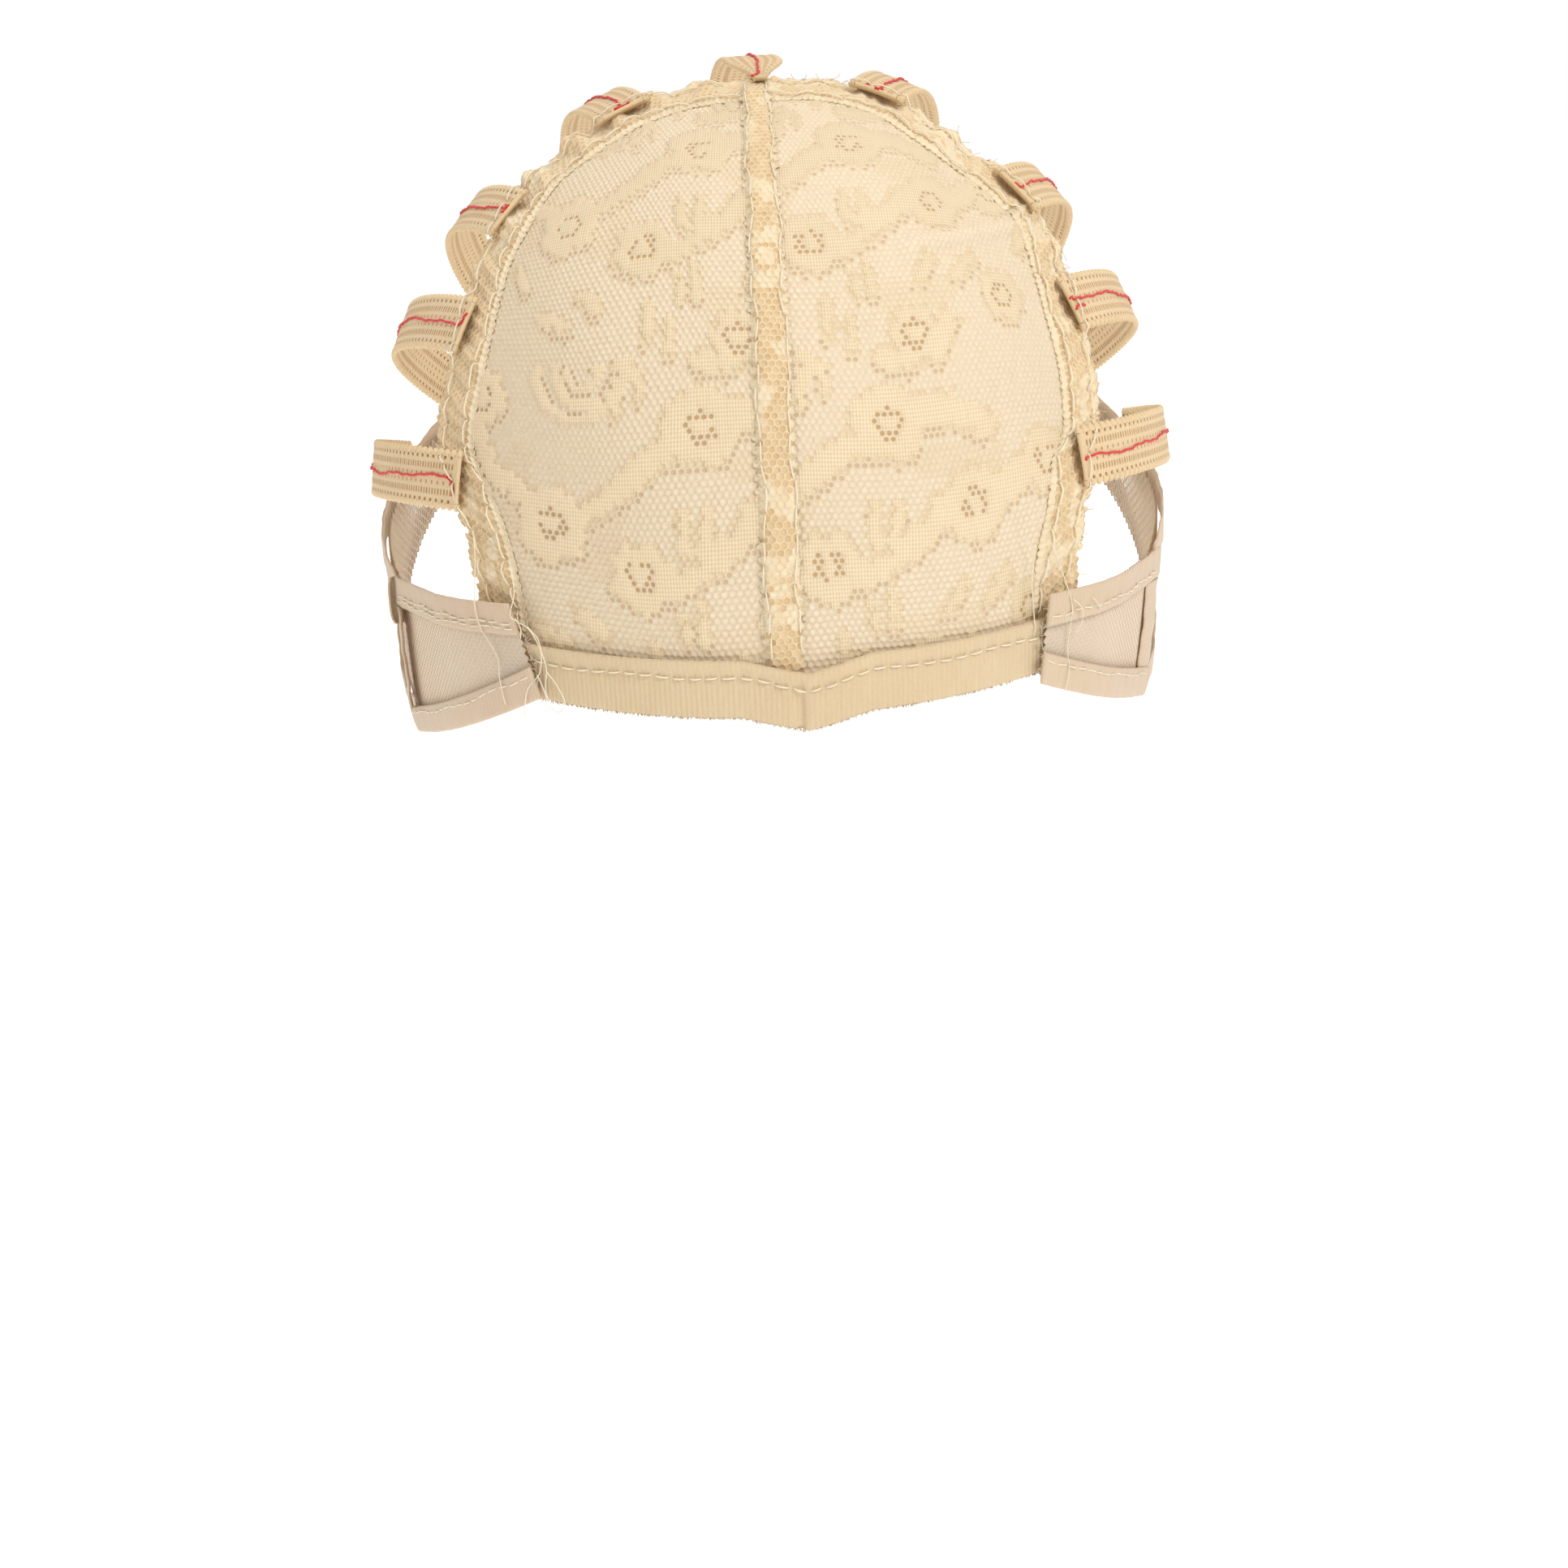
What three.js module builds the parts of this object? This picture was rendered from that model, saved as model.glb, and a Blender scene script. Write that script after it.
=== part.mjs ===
// A ventilated wig cap: a stretch-lace back in two halves, folded hems, a ribbed elastic nape band,
// ribbon-bound mesh tabs, nine elastic straps that run forwards over the crown, and a mesh front band.
// Millimetres. +X is the wearer's right, +Y the way the wearer looks and +Z up. The origin is the
// inside of the crown, where the cap hangs on what wears it.
import * as THREE from "three";

const { clamp, degToRad, lerp, radToDeg, smoothstep } = THREE.MathUtils;

// The rounded hollow inside the cap: its half width, its half length, and how far it rises and
// drops from its widest level.
const form = { halfWidth: 80.5, halfLength: 98, rise: 88, drop: 150 };

// Clear space between two cloths that lie on each other.
const gap = 0.3;

const thick = { lace: 1, hem: 1, seam: 1, band: 1.4, mesh: 1, ribbon: 1, strap: 1.1 };

// How far each cloth lies above the hollow. A cloth starts a gap above what it lies on.
const lift = { lace: 0, frontMesh: 0 };
lift.hem = lift.lace + thick.lace + gap;
lift.seam = lift.lace + thick.lace + gap;
lift.band = lift.lace + thick.lace + gap;
lift.tabAtNape = lift.band + thick.band + gap;
lift.tabAtEar = lift.frontMesh + thick.mesh + gap;
lift.frontRibbon = lift.frontMesh + thick.mesh + gap;
lift.strapOnHem = lift.hem + thick.hem + gap;
lift.strapOnFront = lift.frontRibbon + thick.ribbon + gap;

// Angles in degrees from the middle of the back: how far the lace reaches down, up and sideways.
const lace = { bottom: -8.5, top: 77, spread: 50, seamGap: 0.4, rows: 26, columns: 8 };

// The lace's arched edge, from the nape to the crown. Heights are shares of the way from the
// lace's bottom to its top, and half widths are shares of its spread. Each row of threads starts
// on the seam at its own height.
const arch = [
  { height: 0.0, left: 0.81, right: 0.8, seamHeight: 0.0 },
  { height: 0.12, left: 0.84, right: 0.83, seamHeight: 0.11 },
  { height: 0.2, left: 0.88, right: 0.88, seamHeight: 0.19 },
  { height: 0.265, left: 0.94, right: 0.91, seamHeight: 0.25 },
  { height: 0.345, left: 1.01, right: 0.98, seamHeight: 0.33 },
  { height: 0.43, left: 0.99, right: 0.99, seamHeight: 0.41 },
  { height: 0.52, left: 0.97, right: 0.98, seamHeight: 0.485 },
  { height: 0.62, left: 0.95, right: 0.98, seamHeight: 0.545 },
  { height: 0.71, left: 0.9, right: 0.93, seamHeight: 0.595 },
  { height: 0.8, left: 0.83, right: 0.78, seamHeight: 0.64 },
  { height: 0.87, left: 0.69, right: 0.66, seamHeight: 0.685 },
  { height: 0.94, left: 0.52, right: 0.54, seamHeight: 0.72 },
  { height: 0.99, left: 0.28, right: 0.34, seamHeight: 0.755 },
  { height: 1.0, left: 0.0, right: 0.0, seamHeight: 0.78 },
];

const hem = { width: 10.5, rows: 48 };
const seam = { width: 7, rows: 30 };

// The nape band: its height, how far its top edge lies below the widest level, and the angle that it
// reaches round. It has a V-shaped fold a little to the right of the seam.
const band = { height: 10.8, below: 7.8, reach: 39, rows: 44 };
const fold = { side: 2.6, spread: 8, drop: 2.4, ridge: 1.2 };

// The tabs' corners, as angles sideways and up from the middle of the back: first their ends at the
// nape, then their ends at the ears.
const tabCorners = {
  left: { nape: { top: [35.2, 0.4], low: [31.3, -11.2] }, ear: { top: [64.5, -2], low: [66, -30] } },
  right: { nape: { top: [34.7, -1.5], low: [33.2, -12.8] }, ear: { top: [66, -3.4], low: [62, -27.3] } },
};
const tab = { dropFrom: 0.34, dropTo: 0.8, columns: 14, rows: 6 };
const ribbon = { width: 6 };

// The front band, all the way round from one tab over the forehead to the other. Around is the
// angle from the middle of the back, and heights are shares of the hollow's rise.
const frontRows = [
  { around: 58, low: -0.41, high: -0.03 },
  { around: 78, low: -0.4, high: 0.0 },
  { around: 96, low: -0.2, high: 0.06 },
  { around: 114, low: -0.05, high: 0.16 },
  { around: 131, low: 0.06, high: 0.27 },
  { around: 150, low: 0.17, high: 0.38 },
  { around: 166, low: 0.25, high: 0.46 },
  { around: 180, low: 0.27, high: 0.49 },
];
const front = { lap: 5, rows: 84, columns: 3 };

// The straps, as pairs but for the top one. Each starts on the lace's edge at a share of its run
// from nape to crown, and ends on the front band at an angle around from the back.
const strapRows = [
  { name: "lower", left: 0.235, right: 0.23, around: 101 },
  { name: "middle", left: 0.46, right: 0.456, around: 121 },
  { name: "upper", left: 0.632, right: 0.632, around: 136 },
  { name: "crown", left: 0.852, right: 0.878, around: 154 },
];
const topStrap = { side: 1.2, around: 186 };

// A strap lies on the hem and on the front band for a length at either end, and is taut between
// them. Its inner end has a lip that stands up.
const strap = { width: 10.5, onHem: 5, onFront: 8, step: 5.5 };
const lip = { height: 1.6, length: 1.8, slope: 0.6 };

const colour = { lace: 0xf0d8a4, plush: 0xeccfa0, strap: 0xe4c496, ribbon: 0xe6cfbb, mesh: 0xe6d0b9 };

function cloth(name, tint, roughness) {
  const material = new THREE.MeshStandardMaterial({ color: tint, roughness, metalness: 0 });
  material.name = name;
  return material;
}

const material = {
  lace: cloth("stretch_lace", colour.lace, 0.9),
  plush: cloth("plush_elastic", colour.plush, 0.95),
  strap: cloth("strap_elastic", colour.strap, 0.85),
  ribbon: cloth("ribbon", colour.ribbon, 0.7),
  mesh: cloth("tab_net", colour.mesh, 0.85),
};

const wearerSides = { left: -1, right: 1 };

// Heights and angles below the widest level, brought to the deeper half of the hollow, so that
// they measure as much there as above it.
function levelled(up) {
  return up < 0 ? (up * form.rise) / form.drop : up;
}

// The direction that lies so many degrees sideways and up from the middle of the back, as on a
// round map with the middle of the back at its centre.
function fromBack(side, up) {
  const height = levelled(up);
  const away = Math.max(Math.hypot(side, height), 1e-6);
  const spread = Math.sin(degToRad(away)) / away;
  return new THREE.Vector3(side * spread, -Math.cos(degToRad(away)), height * spread);
}

// The direction at an angle around from the back and a height, a share of the rise.
function fromRound(around, up) {
  const height = levelled(up);
  const level = Math.sqrt(1 - height * height);
  const turn = degToRad(around);
  return new THREE.Vector3(level * Math.sin(turn), -level * Math.cos(turn), height);
}

// The hollow's half sizes on the side of its widest level that a point or a direction lies on.
function halfSizes(place) {
  return new THREE.Vector3(form.halfWidth, form.halfLength, place.z < 0 ? form.drop : form.rise);
}

// The point in a direction that lies so far above the hollow.
function above(direction, distance) {
  const sizes = halfSizes(direction);
  const outward = direction.clone().divide(sizes).normalize();
  return direction.clone().multiply(sizes).addScaledVector(outward, distance);
}

// The share of a run that a length in millimetres takes up, where its place(share) starts.
function shareOf(length, place, from = 0, to = 1) {
  const probe = 0.02;
  const start = above(place(from), 0);
  const next = above(place(lerp(from, to, probe)), 0);
  return (length * probe) / start.distanceTo(next);
}

function evenShares(count) {
  return Array.from({ length: count + 1 }, (_, index) => index / count);
}

// Whether along, across and outwards make a right-handed set, for which the faces are turned round.
function isTurned(place) {
  const [start, next, beside] = [
    [0.5, 0.5],
    [0.51, 0.5],
    [0.5, 0.51],
  ].map(([along, across]) => above(place(along, across).direction, 0));
  return next.sub(start).cross(beside.sub(start)).dot(start) > 0;
}

// A closed wall of cloth over a grid of shares along and across it. Its place(along, across)
// gives the direction, and the heights of the cloth's inner and outer faces above the hollow.
function wall(alongShares, acrossShares, place) {
  const turned = isTurned(place);
  const columns = acrossShares.length;
  const faceSize = alongShares.length * columns;
  const inner = [];
  const outer = [];
  for (const along of alongShares) {
    for (const across of acrossShares) {
      const { direction, low, high } = place(along, across);
      inner.push(...above(direction, low).toArray());
      outer.push(...above(direction, high).toArray());
    }
  }
  const indices = [];
  function quad(a, b, c, d) {
    if (turned) indices.push(a, c, b, a, d, c);
    else indices.push(a, b, c, a, c, d);
  }
  const lastRow = alongShares.length - 1;
  const lastColumn = columns - 1;
  for (let row = 0; row < lastRow; row += 1) {
    for (let column = 0; column < lastColumn; column += 1) {
      const a = row * columns + column;
      const b = a + columns;
      quad(a, b, b + 1, a + 1);
      quad(faceSize + a, faceSize + a + 1, faceSize + b + 1, faceSize + b);
    }
    const start = row * columns;
    const end = start + lastColumn;
    quad(start, faceSize + start, faceSize + start + columns, start + columns);
    quad(end, end + columns, faceSize + end + columns, faceSize + end);
  }
  for (let column = 0; column < lastColumn; column += 1) {
    const end = lastRow * columns + column;
    quad(column, column + 1, faceSize + column + 1, faceSize + column);
    quad(end, faceSize + end, faceSize + end + 1, end + 1);
  }
  const geometry = new THREE.BufferGeometry();
  geometry.setAttribute("position", new THREE.Float32BufferAttribute([...inner, ...outer], 3));
  geometry.setIndex(indices);
  geometry.computeVertexNormals();
  return geometry;
}

const cap = new THREE.Group();

function addPiece(name, geometry, pieceMaterial) {
  const mesh = new THREE.Mesh(geometry, pieceMaterial);
  mesh.name = name;
  mesh.position.z = -form.rise - lift.strapOnHem;
  cap.add(mesh);
}

// One half of the lace as a place(along, across): along from nape to crown, and across from the
// seam, at 0, to the arched edge, at 1.
function laceHalf(sideName) {
  const sign = wearerSides[sideName];
  const knots = arch.map(
    (row) => new THREE.Vector3(row[sideName] * lace.spread, row.height, row.seamHeight),
  );
  const curve = new THREE.CatmullRomCurve3(knots);
  const seamSide = radToDeg(lace.seamGap / 2 / form.halfWidth);
  return function (along, across) {
    const edge = curve.getPoint(along);
    const side = lerp(seamSide, Math.max(edge.x, seamSide), across);
    const up = lerp(lace.bottom, lace.top, lerp(edge.z, edge.y, across));
    return fromBack(sign * side, up);
  };
}

const half = { left: laceHalf("left"), right: laceHalf("right") };

function addLacePanel(sideName) {
  const geometry = wall(evenShares(lace.rows), evenShares(lace.columns), (along, across) => ({
    direction: half[sideName](along, across),
    low: lift.lace,
    high: lift.lace + thick.lace,
  }));
  addPiece(`lace_panel_${sideName}`, geometry, material.lace);
}

// The share of a lace row that the hem takes, from the edge inwards.
function hemShare(sideName, along) {
  return shareOf(hem.width, (across) => half[sideName](along, across), 1, 0);
}

// The share of the way from nape to crown at which the hem is clear of the nape band.
function hemStart(sideName) {
  const bandEdge = above(fromBack(band.reach, bandTop(band.reach)), 0).z;
  const shares = evenShares(500);
  return shares.find((along) => {
    const innerCorner = half[sideName](along, 1 - hemShare(sideName, along));
    return above(innerCorner, 0).z > bandEdge + 2 * gap;
  });
}

function addEdgeHem(sideName) {
  const start = hemStart(sideName);
  const geometry = wall(evenShares(hem.rows), evenShares(2), (share, across) => {
    const along = lerp(start, 1, share);
    return {
      direction: half[sideName](along, lerp(1 - hemShare(sideName, along), 1, across)),
      low: lift.hem,
      high: lift.hem + thick.hem,
    };
  });
  addPiece(`edge_hem_${sideName}`, geometry, material.lace);
}

// The angle that lies so far below the widest level, at the middle of the back.
function downAngle(distance) {
  return -radToDeg(distance / form.rise);
}

// How much of the nape band's fold there is at an angle sideways, and the angle of the band's top.
function foldShare(side) {
  return clamp(1 - Math.abs(side - fold.side) / fold.spread, 0, 1);
}

function bandTop(side) {
  return downAngle(band.below + fold.drop * foldShare(side));
}

function addNapeBand() {
  const geometry = wall(evenShares(band.rows), evenShares(3), (along, across) => {
    const side = lerp(-band.reach, band.reach, along);
    const low = lift.band + fold.ridge * foldShare(side);
    return {
      direction: fromBack(side, bandTop(side) + downAngle(across * band.height)),
      low,
      high: low + thick.band,
    };
  });
  addPiece("nape_band", geometry, material.plush);
}

// The seam strip runs up the middle, from the nape band to the hems.
function addCentreSeam() {
  const halfAngle = radToDeg(seam.width / 2 / form.halfWidth);
  const bottom = Math.max(bandTop(-halfAngle), bandTop(halfAngle)) - downAngle(2 * gap);
  const crown = (up) => fromBack(0, up);
  const hemAngle = shareOf(hem.width + 2 * gap, crown, lace.top, lace.top - 1);
  const top = lace.top - hemAngle;
  const geometry = wall(evenShares(seam.rows), evenShares(2), (along, across) => ({
    direction: fromBack(lerp(-halfAngle, halfAngle, across), lerp(bottom, top, along)),
    low: lift.seam,
    high: lift.seam + thick.seam,
  }));
  addPiece("centre_seam", geometry, material.lace);
}

// A tab as a place(along, down): along from the nape to the ear, and down from its top edge.
function tabPlace(sideName) {
  const { nape, ear } = tabCorners[sideName];
  const between = (start, end, share) => start.map((value, axis) => lerp(value, end[axis], share));
  return function (along, down) {
    const top = between(nape.top, ear.top, along);
    const low = between(nape.low, ear.low, along);
    const [side, up] = between(top, low, down);
    return fromBack(wearerSides[sideName] * side, up);
  };
}

// A tab lies over the end of the nape band, and comes down to the front band at the ear.
function tabLift(along) {
  return lerp(lift.tabAtNape, lift.tabAtEar, smoothstep(along, tab.dropFrom, tab.dropTo));
}

// The two cloths that tabs and front band are made of: the mesh, and ribbons that lie on it.
const layers = {
  mesh: { rise: 0, depth: thick.mesh, material: material.mesh },
  ribbon: { rise: thick.mesh + gap, depth: thick.ribbon, material: material.ribbon },
};

// A cloth of a tab. Its onTab(share, across) gives the shares along and down the tab.
function addTabCloth(name, sideName, layer, shares, acrossShares, onTab) {
  const place = tabPlace(sideName);
  const geometry = wall(shares, acrossShares, (share, across) => {
    const [along, down] = onTab(share, across);
    const low = tabLift(along) + layer.rise;
    return { direction: place(along, down), low, high: low + layer.depth };
  });
  addPiece(`${name}_${sideName}`, geometry, layer.material);
}

function addTab(sideName) {
  const place = tabPlace(sideName);
  const alongShares = evenShares(tab.columns);
  const downShares = evenShares(tab.rows);
  const ribbonShare = (along) => shareOf(ribbon.width, (down) => place(along, down));
  const gapShare = (along) => shareOf(gap, (down) => place(along, down));
  addTabCloth("tab_mesh", sideName, layers.mesh, alongShares, downShares, (along, down) => [along, down]);
  addTabCloth("tab_top_ribbon", sideName, layers.ribbon, alongShares, evenShares(1), (along, across) => [
    along,
    across * ribbonShare(along),
  ]);
  addTabCloth("tab_bottom_ribbon", sideName, layers.ribbon, alongShares, evenShares(1), (along, across) => [
    along,
    1 - (1 - across) * ribbonShare(along),
  ]);
  const endShare = shareOf(ribbon.width, (along) => place(along, 0.5), 1, 0);
  addTabCloth("tab_end_ribbon", sideName, layers.ribbon, downShares, evenShares(1), (down, across) => {
    const along = 1 - across * endShare;
    const margin = ribbonShare(along) + gapShare(along);
    return [along, lerp(margin, 1 - margin, down)];
  });
}

const frontCurve = new THREE.CatmullRomCurve3(
  frontRows.map((row) => new THREE.Vector3(row.around, row.low, row.high)),
);
const frontStart = frontRows[0].around;
const frontEnd = frontRows[frontRows.length - 1].around;

// The heights of the front band's two edges at an angle around from the back, on either side.
function frontHeights(around) {
  const folded = around > 180 ? 360 - around : around;
  const turn = clamp(folded, frontStart, frontEnd);
  let index = frontRows.findIndex((row) => row.around >= turn);
  index = Math.max(index, 1);
  const before = frontRows[index - 1];
  const after = frontRows[index];
  const inRow = (turn - before.around) / (after.around - before.around);
  const point = frontCurve.getPoint((index - 1 + inRow) / (frontRows.length - 1));
  return { low: point.y, high: point.z };
}

// The front band as a place(around, up), from its lower edge at 0 to its upper edge at 1.
function frontPlace(around, up) {
  const { low, high } = frontHeights(around);
  return fromRound(around, lerp(low, high, up));
}

// The angle around from the back of a direction on the right, or its mirror image on the left.
function aroundOf(direction) {
  return radToDeg(Math.atan2(Math.abs(direction.x), -direction.y));
}

// The angle around at which a cloth of the front band starts, so many millimetres past a tab's end.
function frontStartAt(sideName, down, past) {
  const corner = tabPlace(sideName)(1, down);
  const degreesPerMm = shareOf(1, (around) => frontPlace(around, 0.5), frontStart, frontStart + 1);
  return aroundOf(corner) + past * degreesPerMm;
}

// A cloth of the front band, from its start on the right to its start on the left. Its
// upAt(around, across) gives the share up the band.
function addFrontCloth(name, layer, starts, columns, upAt) {
  const low = lift.frontMesh + layer.rise;
  const geometry = wall(evenShares(front.rows), evenShares(columns), (along, across) => {
    const around = lerp(starts.right, 360 - starts.left, along);
    return { direction: frontPlace(around, upAt(around, across)), low, high: low + layer.depth };
  });
  addPiece(name, geometry, layer.material);
}

function frontStarts(down, past) {
  return { left: frontStartAt("left", down, past), right: frontStartAt("right", down, past) };
}

function addFrontBand() {
  const ribbonShare = (around) => shareOf(ribbon.width, (up) => frontPlace(around, up));
  const clear = 2 * gap;
  addFrontCloth("front_mesh", layers.mesh, frontStarts(0.5, -front.lap), front.columns, (around, up) => up);
  addFrontCloth("front_edge_ribbon", layers.ribbon, frontStarts(1, clear), 1, (around, across) => {
    return across * ribbonShare(around);
  });
  addFrontCloth("front_inner_ribbon", layers.ribbon, frontStarts(0, clear), 1, (around, across) => {
    return 1 - (1 - across) * ribbonShare(around);
  });
}

// The shortest way over the crown between two directions, as a place(share).
function wayOver(start, end) {
  const angle = start.angleTo(end);
  return (share) =>
    start
      .clone()
      .multiplyScalar(Math.sin((1 - share) * angle))
      .addScaledVector(end, Math.sin(share * angle))
      .divideScalar(Math.sin(angle));
}

// The direction that lies so far to the side of a share of a way over the crown.
function beside(way, share, distance) {
  const middle = above(way(share), 0);
  const ahead = above(way(share + 0.01), 0).sub(middle);
  const outward = way(share).divide(halfSizes(middle));
  const sideways = outward.cross(ahead).normalize();
  const place = middle.addScaledVector(sideways, distance);
  return place.divide(halfSizes(place)).normalize();
}

function wayLength(way) {
  const points = evenShares(20).map((share) => above(way(share), 0));
  return points.slice(1).reduce((sum, point, index) => sum + point.distanceTo(points[index]), 0);
}

function addStrap(name, start, end) {
  const way = wayOver(start, end);
  const length = wayLength(way);
  const whole = strap.onHem + length + strap.onFront;
  const plainStart = lip.length + lip.slope;
  const steps = evenShares(Math.ceil((whole - plainStart) / strap.step));
  const distances = [0, lip.length, ...steps.map((share) => lerp(plainStart, whole, share))];
  const alongShares = distances.map((distance) => distance / whole);
  const geometry = wall(alongShares, evenShares(2), (along, across) => {
    const distance = along * whole;
    const fromEdge = distance - strap.onHem;
    const low = lerp(lift.strapOnHem, lift.strapOnFront, along);
    const raised = lip.height * (1 - smoothstep(distance, lip.length, plainStart));
    return {
      direction: beside(way, fromEdge / length, lerp(-strap.width / 2, strap.width / 2, across)),
      low,
      high: low + thick.strap + raised,
    };
  });
  addPiece(name, geometry, material.strap);
}

function addStrapPair(row) {
  for (const sideName of ["left", "right"]) {
    const around = sideName === "right" ? row.around : 360 - row.around;
    addStrap(`strap_${row.name}_${sideName}`, half[sideName](row[sideName], 1), frontPlace(around, 1));
  }
}

for (const sideName of ["left", "right"]) {
  addLacePanel(sideName);
  addEdgeHem(sideName);
  addTab(sideName);
}
addCentreSeam();
addNapeBand();
addFrontBand();
for (const row of strapRows) addStrapPair(row);
addStrap("strap_top", fromBack(topStrap.side, lace.top), frontPlace(topStrap.around, 1));

export default cap;
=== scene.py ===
import math

import bpy
import numpy as np
from mathutils import Matrix


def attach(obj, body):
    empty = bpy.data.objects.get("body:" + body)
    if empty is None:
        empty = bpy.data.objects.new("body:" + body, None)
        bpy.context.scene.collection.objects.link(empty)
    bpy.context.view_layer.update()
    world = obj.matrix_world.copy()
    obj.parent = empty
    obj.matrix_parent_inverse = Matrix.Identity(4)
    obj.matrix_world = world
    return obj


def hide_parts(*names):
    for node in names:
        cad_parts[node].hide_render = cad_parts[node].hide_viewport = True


# The looks of a ventilated wig cap: stretch lace in two halves, crinkled hems, a ribbed plush nape
# band, net tabs bound with satin ribbon, picot-edged elastic straps, stitches and loose threads.
# Shapes are worked out in millimetres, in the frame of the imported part, and add_piece() brings them
# to metres. Angles are degrees. +X is the wearer's right, +Y the way the wearer looks.

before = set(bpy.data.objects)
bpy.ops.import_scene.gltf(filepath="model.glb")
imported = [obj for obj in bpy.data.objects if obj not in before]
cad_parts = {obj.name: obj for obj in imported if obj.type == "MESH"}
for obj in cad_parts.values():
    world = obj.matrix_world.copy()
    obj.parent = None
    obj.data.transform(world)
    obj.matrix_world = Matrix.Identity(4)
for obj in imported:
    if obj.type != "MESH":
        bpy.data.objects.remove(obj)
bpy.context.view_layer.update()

METRE = 0.001
SIDES = {"left": -1, "right": 1}

# The rounded hollow under the cap, and where its centre lies below the origin.
HALF_WIDTH = 80.5
HALF_LENGTH = 98
RISE = 88
DROP = 150
CENTRE_DOWN = 90.6

# How far the middle of each cloth lies above the hollow.
LACE_LIFT = 0.5
HEM_LIFT = 1.7
SEAM_LIFT = 1.6
BAND_LIFT = 2.0
TAB_AT_NAPE = 3.5
TAB_AT_EAR = 1.8
FRONT_LIFT = 0.5
RIBBON_RISE = 1.2
STRAP_LIFT = 3.1

# The lace reaches from its bottom to its top, angles up from the middle of the back, and its arched
# edge is at shares of its spread to the left and to the right. Each row starts on the seam.
LACE_BOTTOM = -8.5
LACE_TOP = 77
LACE_SPREAD = 50
ARCH = [  # height, left, right, height on the seam
    (0.0, 0.81, 0.8, 0.0),
    (0.12, 0.84, 0.83, 0.11),
    (0.2, 0.88, 0.88, 0.19),
    (0.265, 0.94, 0.91, 0.25),
    (0.345, 1.01, 0.98, 0.33),
    (0.43, 0.99, 0.99, 0.41),
    (0.52, 0.97, 0.98, 0.485),
    (0.62, 0.95, 0.98, 0.545),
    (0.71, 0.9, 0.93, 0.595),
    (0.8, 0.83, 0.78, 0.64),
    (0.87, 0.69, 0.66, 0.685),
    (0.94, 0.52, 0.54, 0.72),
    (0.99, 0.28, 0.34, 0.755),
    (1.0, 0.0, 0.0, 0.78),
]

# The lace's net: the width of its meshes, its thread, and the fine web that closes each mesh.
NET_PITCH = 1.3
NET_THREAD = 0.4
WEB = 0.1
DENSE_RELIEF = 0.1

# How full a mesh is: 1 is dense cloth, PALE_FULL a mesh with a pale web, and less a darker web, painted
# shade seen through the mesh.
THREAD_FULL = 0.8
PALE_FULL = 0.6
FULL_GROUND = 0.6
FULL_ROUGH = 0.06
FULL_SHADOW = 0.26
FULL_RING = 0.1
FULL_HALF_TONE = 0.7
FULL_EDGE = 0.77
FULL_HEM = 0.38
FULL_HEM_DENSE = 0.72
FULL_TAB = 0.36
TAB_FADE = 0.22

# The width of a mesh as a share of the pitch: at its least, and what it gains by being full.
OPENING = {"lace": (0.5, 0.24), "hem": (0.68, 0.06), "tab": (0.5, 0.06), "front": (0.64, 0)}

# The lace is stretched, so its rows bow a little.
BOW = {
    "across": 0.45, "turn_up": 0.085, "lean_across": 0.2, "grows": (3, 12),
    "up": 0.6, "turn_across": 0.11, "lean_up": 0.05,
}

# The lace's floral repeat, in millimetres across and up the cloth. Its flowers have petals round a
# ring of holes, and its bands, leaves and bars are strokes of dense cloth with a width.
REPEAT_HEIGHT = 60.5
REPEATS = (-REPEAT_HEIGHT, 0, REPEAT_HEIGHT)
REPEAT_SHIFT = {"left": -25.7, "right": 8.0}
FLOWERS = [  # across, up, radius, petals
    (0.5, 20.4, 6.4, 5),
    (12.2, 45.6, 7.0, 5),
    (-16.8, 28.6, 7.2, 6),
    (28.6, 29.8, 6.8, 5),
    (45.5, 35.2, 6.2, 5),
    (19.8, 0.8, 5.4, 5),
    (-34.0, 52.0, 6.0, 5),
    (41.0, 8.0, 5.6, 5),
]
FLOWER_RING = 2.3
RING_WIDTH = 0.72
STROKES = [  # across and up at its start, across and up at its end, half width
    (5, 42, -2, 36, 2.6),
    (-2, 36, -10, 31.5, 2.4),
    (15, 47.5, 25, 47, 3.2),
    (25, 47, 32, 43.5, 2.6),
    (6, 18, 14, 22.5, 2.2),
    (14, 22.5, 20, 28, 2.6),
    (20, 28, 26, 33, 3.0),
    (9, 31, 9.5, 25, 1.3),
    (9.5, 25, 13, 24.5, 1.2),
    (13, 24.5, 13.2, 31, 1.3),
    (35, 31, 41, 35, 3.0),
    (-22, 33, -31, 38, 2.2),
    (-31, 38, -36, 47, 2.6),
    (2.3, 2, 2.3, 8, 1.4),
    (6.5, -1, 6.5, 4.5, 1.2),
    (12.5, -3, 17, -4, 2.2),
    (24, -3, 27, 3.5, 2.2),
    (12, 9, 12, 15.5, 1.2),
    (8.6, 9.5, 8.6, 13, 1.2),
    (-7.5, 8.5, -11.5, 12, 1.5),
    (-20, 8, -14.5, 5.5, 1.7),
    (-26, 15, -29, 20, 1.5),
    (30, 12, 35, 16, 1.6),
    (22, 11, 25, 15.5, 1.3),
    (49, 20, 52, 26, 1.6),
    (-44, 22, -38, 27, 2.0),
    (-3, 56, -3, 49, 1.2),
    (1, 56.5, 1, 51.5, 1.0),
]
ROSE = {
    "across": -10.5, "up": 57.0, "petals": ((1.8, 0.0), (4.6, 0.9), (7.2, -0.8)), "width": 0.9,
    "narrow": 0.85, "reach": 10, "top": 0.35, "cloth_out": 1.4, "line": 0.5,
}
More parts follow.
